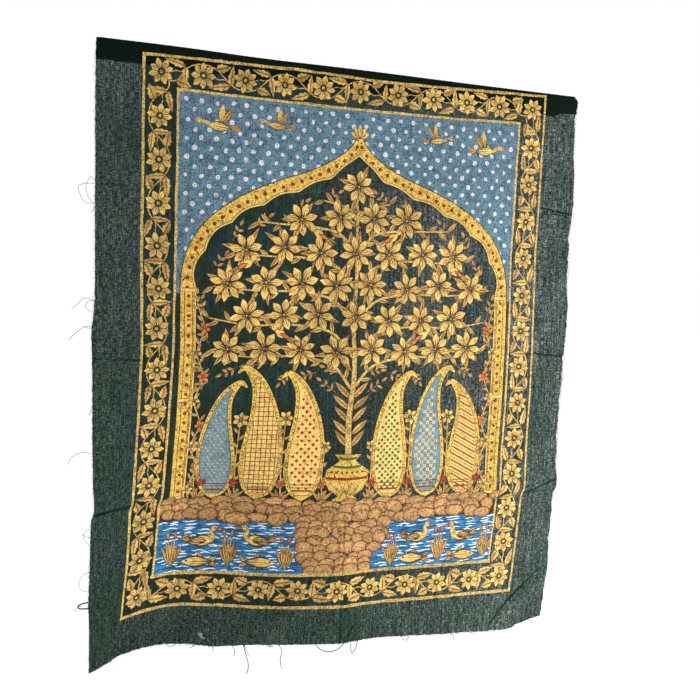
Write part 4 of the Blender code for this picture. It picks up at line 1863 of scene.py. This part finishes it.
def cracks(finish):
    """The dark dry strokes and the scuffs in the sky's wash."""
    patchy = finish.noise(30.0, 40.0, 5.0, 3.0)
    upright = finish.noise(MILLIMETRES / 3.0, MILLIMETRES / 17.0, 8.0, 3.0, 0.7)
    level = finish.noise(MILLIMETRES / 21.0, MILLIMETRES / 3.0, 9.0, 3.0, 0.7)
    grain = finish.noise(MILLIMETRES / 2.8, MILLIMETRES / 2.8, 2.0, 3.0, 0.7)
    strokes = finish.between(upright, 0.52, 0.70, 0.0, 0.6) + finish.between(level, 0.54, 0.70, 0.0, 0.5)
    strokes = strokes * finish.between(patchy, 0.35, 0.60, 0.25, 1.0)
    return strokes + finish.between(grain, 0.45, 0.62, 0.0, 0.70)


def rings(finish):
    """A dot's middle is a little darker than its rim."""
    along, aside = finish.parts("brush")
    return finish.between((along ** 2.0 + aside ** 2.0) ** 0.5, 0.15, 0.50, 0.45, 0.0)


def scrolls(finish):
    """Close dark curls, broken into commas, over gold."""
    bend = finish.noise(MILLIMETRES / 11.0, MILLIMETRES / 11.0, 0.0, 0.0)
    broken = finish.noise(MILLIMETRES / 6.0, MILLIMETRES / 6.0, 4.0, 0.0)
    curls = finish.between(abs(finish.wave(bend * 17.0)), 0.15, 0.50, 1.0, 0.0)
    return curls * finish.between(broken, 0.38, 0.46)


def yarn_ticks(finish):
    """Where the paint has missed the hollows between the yarns."""
    across = finish.noise(MILLIMETRES / 2.6, MILLIMETRES / 4.0, 13.0, 1.0)
    down = finish.noise(MILLIMETRES / 4.0, MILLIMETRES / 2.6, 17.0, 1.0)
    return finish.between(across, 0.50, 0.66, 0.0, 0.55) + finish.between(down, 0.50, 0.66, 0.0, 0.55)


def ripples(finish):
    long = finish.noise(MILLIMETRES / 30.0, MILLIMETRES / 4.5, 4.0)
    return finish.between(long, 0.40, 0.64, 0.0, 0.95)


# Each row is (paint, bright colour, deep colour, brush work, where along its outlined shapes are fullest).
PAINTS = (
    ("green_ring", (22, 44, 40), (12, 28, 26), None, None),
    ("gold_line", (232, 196, 108), (128, 96, 52), yarn_ticks, None),
    ("gold_band", (232, 190, 84), (66, 36, 16), scrolls, None),
    ("gold_petal", (234, 197, 108), (108, 64, 30), petal_veins, PETAL_FULLEST),
    ("gold_leaf", (222, 178, 96), (112, 68, 34), leaf_veins, LEAF_FULLEST),
    ("border_leaf", (230, 190, 102), (118, 74, 38), leaf_veins, None),
    ("brown_line", (60, 32, 18), (34, 24, 18), None, None),
    ("pale_yellow", (234, 196, 112), (200, 150, 76), None, None),
    ("sky_blue", (106, 139, 156), (44, 72, 86), cracks, None),
    ("water_blue", (50, 122, 168), (16, 78, 120), ripples, None),
    ("deep_water", (12, 66, 108), (10, 54, 92), None, None),
    ("white", (214, 208, 212), (166, 160, 168), rings, None),
    ("ripple_white", (226, 234, 240), (170, 196, 214), None, None),
    ("stone", (196, 150, 92), (84, 44, 28), rounding, None),
    ("red", (150, 38, 28), (108, 26, 22), None, None),
    ("red_petal", (178, 52, 38), (112, 28, 24), petal_veins, PETAL_FULLEST),
    ("green", (56, 108, 58), (36, 78, 44), None, None),
    ("dull_blue", (108, 138, 148), (74, 104, 118), None, None),
    ("orange", (220, 124, 60), (160, 70, 38), petal_veins, PETAL_FULLEST),
)


def make_finishes():
    finishes = {
        "dyed_cotton": dyed_cotton(),
        # Painted shade for the doubled strip: near black, and letting little light through.
        "doubled_cotton": dyed_cotton("doubled_cotton", PAINTED_SHADE_GREEN, PAINTED_SHADE_GREEN, 0.17, fade_and_shade=0.0),
        "border_ground": dyed_cotton("border_ground", GROUND_DARK, GROUND_WORN, 1.0, 0.18, 1.08, 0.5),
        "green_ground": dyed_cotton("green_ground", GROUND_DARK, GROUND_WORN, 1.0, 0.10, 1.02),
        "yarn_cotton": yarn_cotton(),
    }
    for name, bright, deep, share, fullest in PAINTS:
        finishes[name] = painted(name, colour(*bright), colour(*deep), share, fullest)
    return finishes


# The surroundings: a pale floor, soft light, and the camera.

CAMERA_AT = (-0.523, -1.471, -0.339)
CAMERA_RIGHT = (0.94247, -0.33164, 0.04203)
CAMERA_UP = (-0.00397, 0.11461, 0.99340)
CAMERA_AHEAD = (0.33427, 0.93642, -0.10670)
FOCAL_PIXELS = 842.0
PICTURE_PIXELS = 700.0
SENSOR = 36.0
FLOOR_DROP = 0.35
FLOOR_RADIUS = 14
FLOOR_GLOW = 0.60
SURROUNDINGS_GLOW = 0.50
# The key light, low and to the right: where it stands, what it aims at, its size and its power.
KEY_AT = (1.65, -0.85, -1.0)
KEY_AIM = (0.1, 0, -0.7)
KEY_SIZE = 0.8
KEY_POWER = 44


def add_camera():
    camera = bpy.data.objects.new("camera", bpy.data.cameras.new("camera"))
    bpy.context.scene.collection.objects.link(camera)
    camera.data.sensor_fit = "HORIZONTAL"
    camera.data.sensor_width = SENSOR
    camera.data.lens = SENSOR * FOCAL_PIXELS / PICTURE_PIXELS
    right, up, ahead = (Vector(v).normalized() for v in (CAMERA_RIGHT, CAMERA_UP, CAMERA_AHEAD))
    turn = np.array([right, up, -ahead]).T
    camera.matrix_world = Matrix([[*turn[k], CAMERA_AT[k]] for k in range(3)] + [[0, 0, 0, 1]])
    bpy.context.scene.camera = camera


def add_floor():
    """A wide pale floor below the cloth, bright enough to meet the pale surroundings without a line."""
    low = solid_box[0][2] - FLOOR_DROP
    bpy.ops.mesh.primitive_circle_add(vertices=96, radius=FLOOR_RADIUS, fill_type="NGON", location=(0, 0, 0))
    floor = bpy.context.object
    floor.name = "floor"
    for vertex in floor.data.vertices:
        vertex.co.z = low
    finish = Finish("pale_floor")
    finish.set(Base_Color=colour(244, 244, 242), Roughness=0.95)
    finish.shader.inputs["Emission Color"].default_value = (1, 1, 1, 1)
    finish.shader.inputs["Emission Strength"].default_value = FLOOR_GLOW
    floor.data.materials.append(finish.material)


def add_light():
    light = bpy.data.objects.new("key", bpy.data.lights.new("key", "AREA"))
    light.data.size = KEY_SIZE
    light.data.energy = KEY_POWER
    light.location = KEY_AT
    light.rotation_euler = (Vector(KEY_AIM) - Vector(KEY_AT)).to_track_quat("-Z", "Y").to_euler()
    bpy.context.scene.collection.objects.link(light)


def add_world():
    """White surroundings that light the cloth more softly than they look to the camera."""
    world = bpy.data.worlds.new("studio")
    world.use_nodes = True
    bpy.context.scene.world = world
    nodes, links = world.node_tree.nodes, world.node_tree.links
    sky = nodes["Background"]
    sky.inputs["Color"].default_value = (1, 1, 1, 1)
    path = nodes.new("ShaderNodeLightPath")
    strength = nodes.new("ShaderNodeMapRange")
    strength.inputs["To Min"].default_value = SURROUNDINGS_GLOW
    strength.inputs["To Max"].default_value = 1.0
    links.new(path.outputs["Is Camera Ray"], strength.inputs["Value"])
    links.new(strength.outputs["Result"], sky.inputs["Strength"])


def main():
    bpy.ops.object.select_all(action="DESELECT")
    painting = paint_all()
    finishes = make_finishes()
    sheet = build_sheet(painting, finishes)
    yarns_piece = build_yarns(finishes["yarn_cotton"])
    for piece in (sheet, yarns_piece):
        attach(piece, "root")
    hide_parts("cloth")
    add_camera()
    add_floor()
    add_light()
    add_world()
    bpy.context.scene.view_settings.view_transform = "Standard"


main()
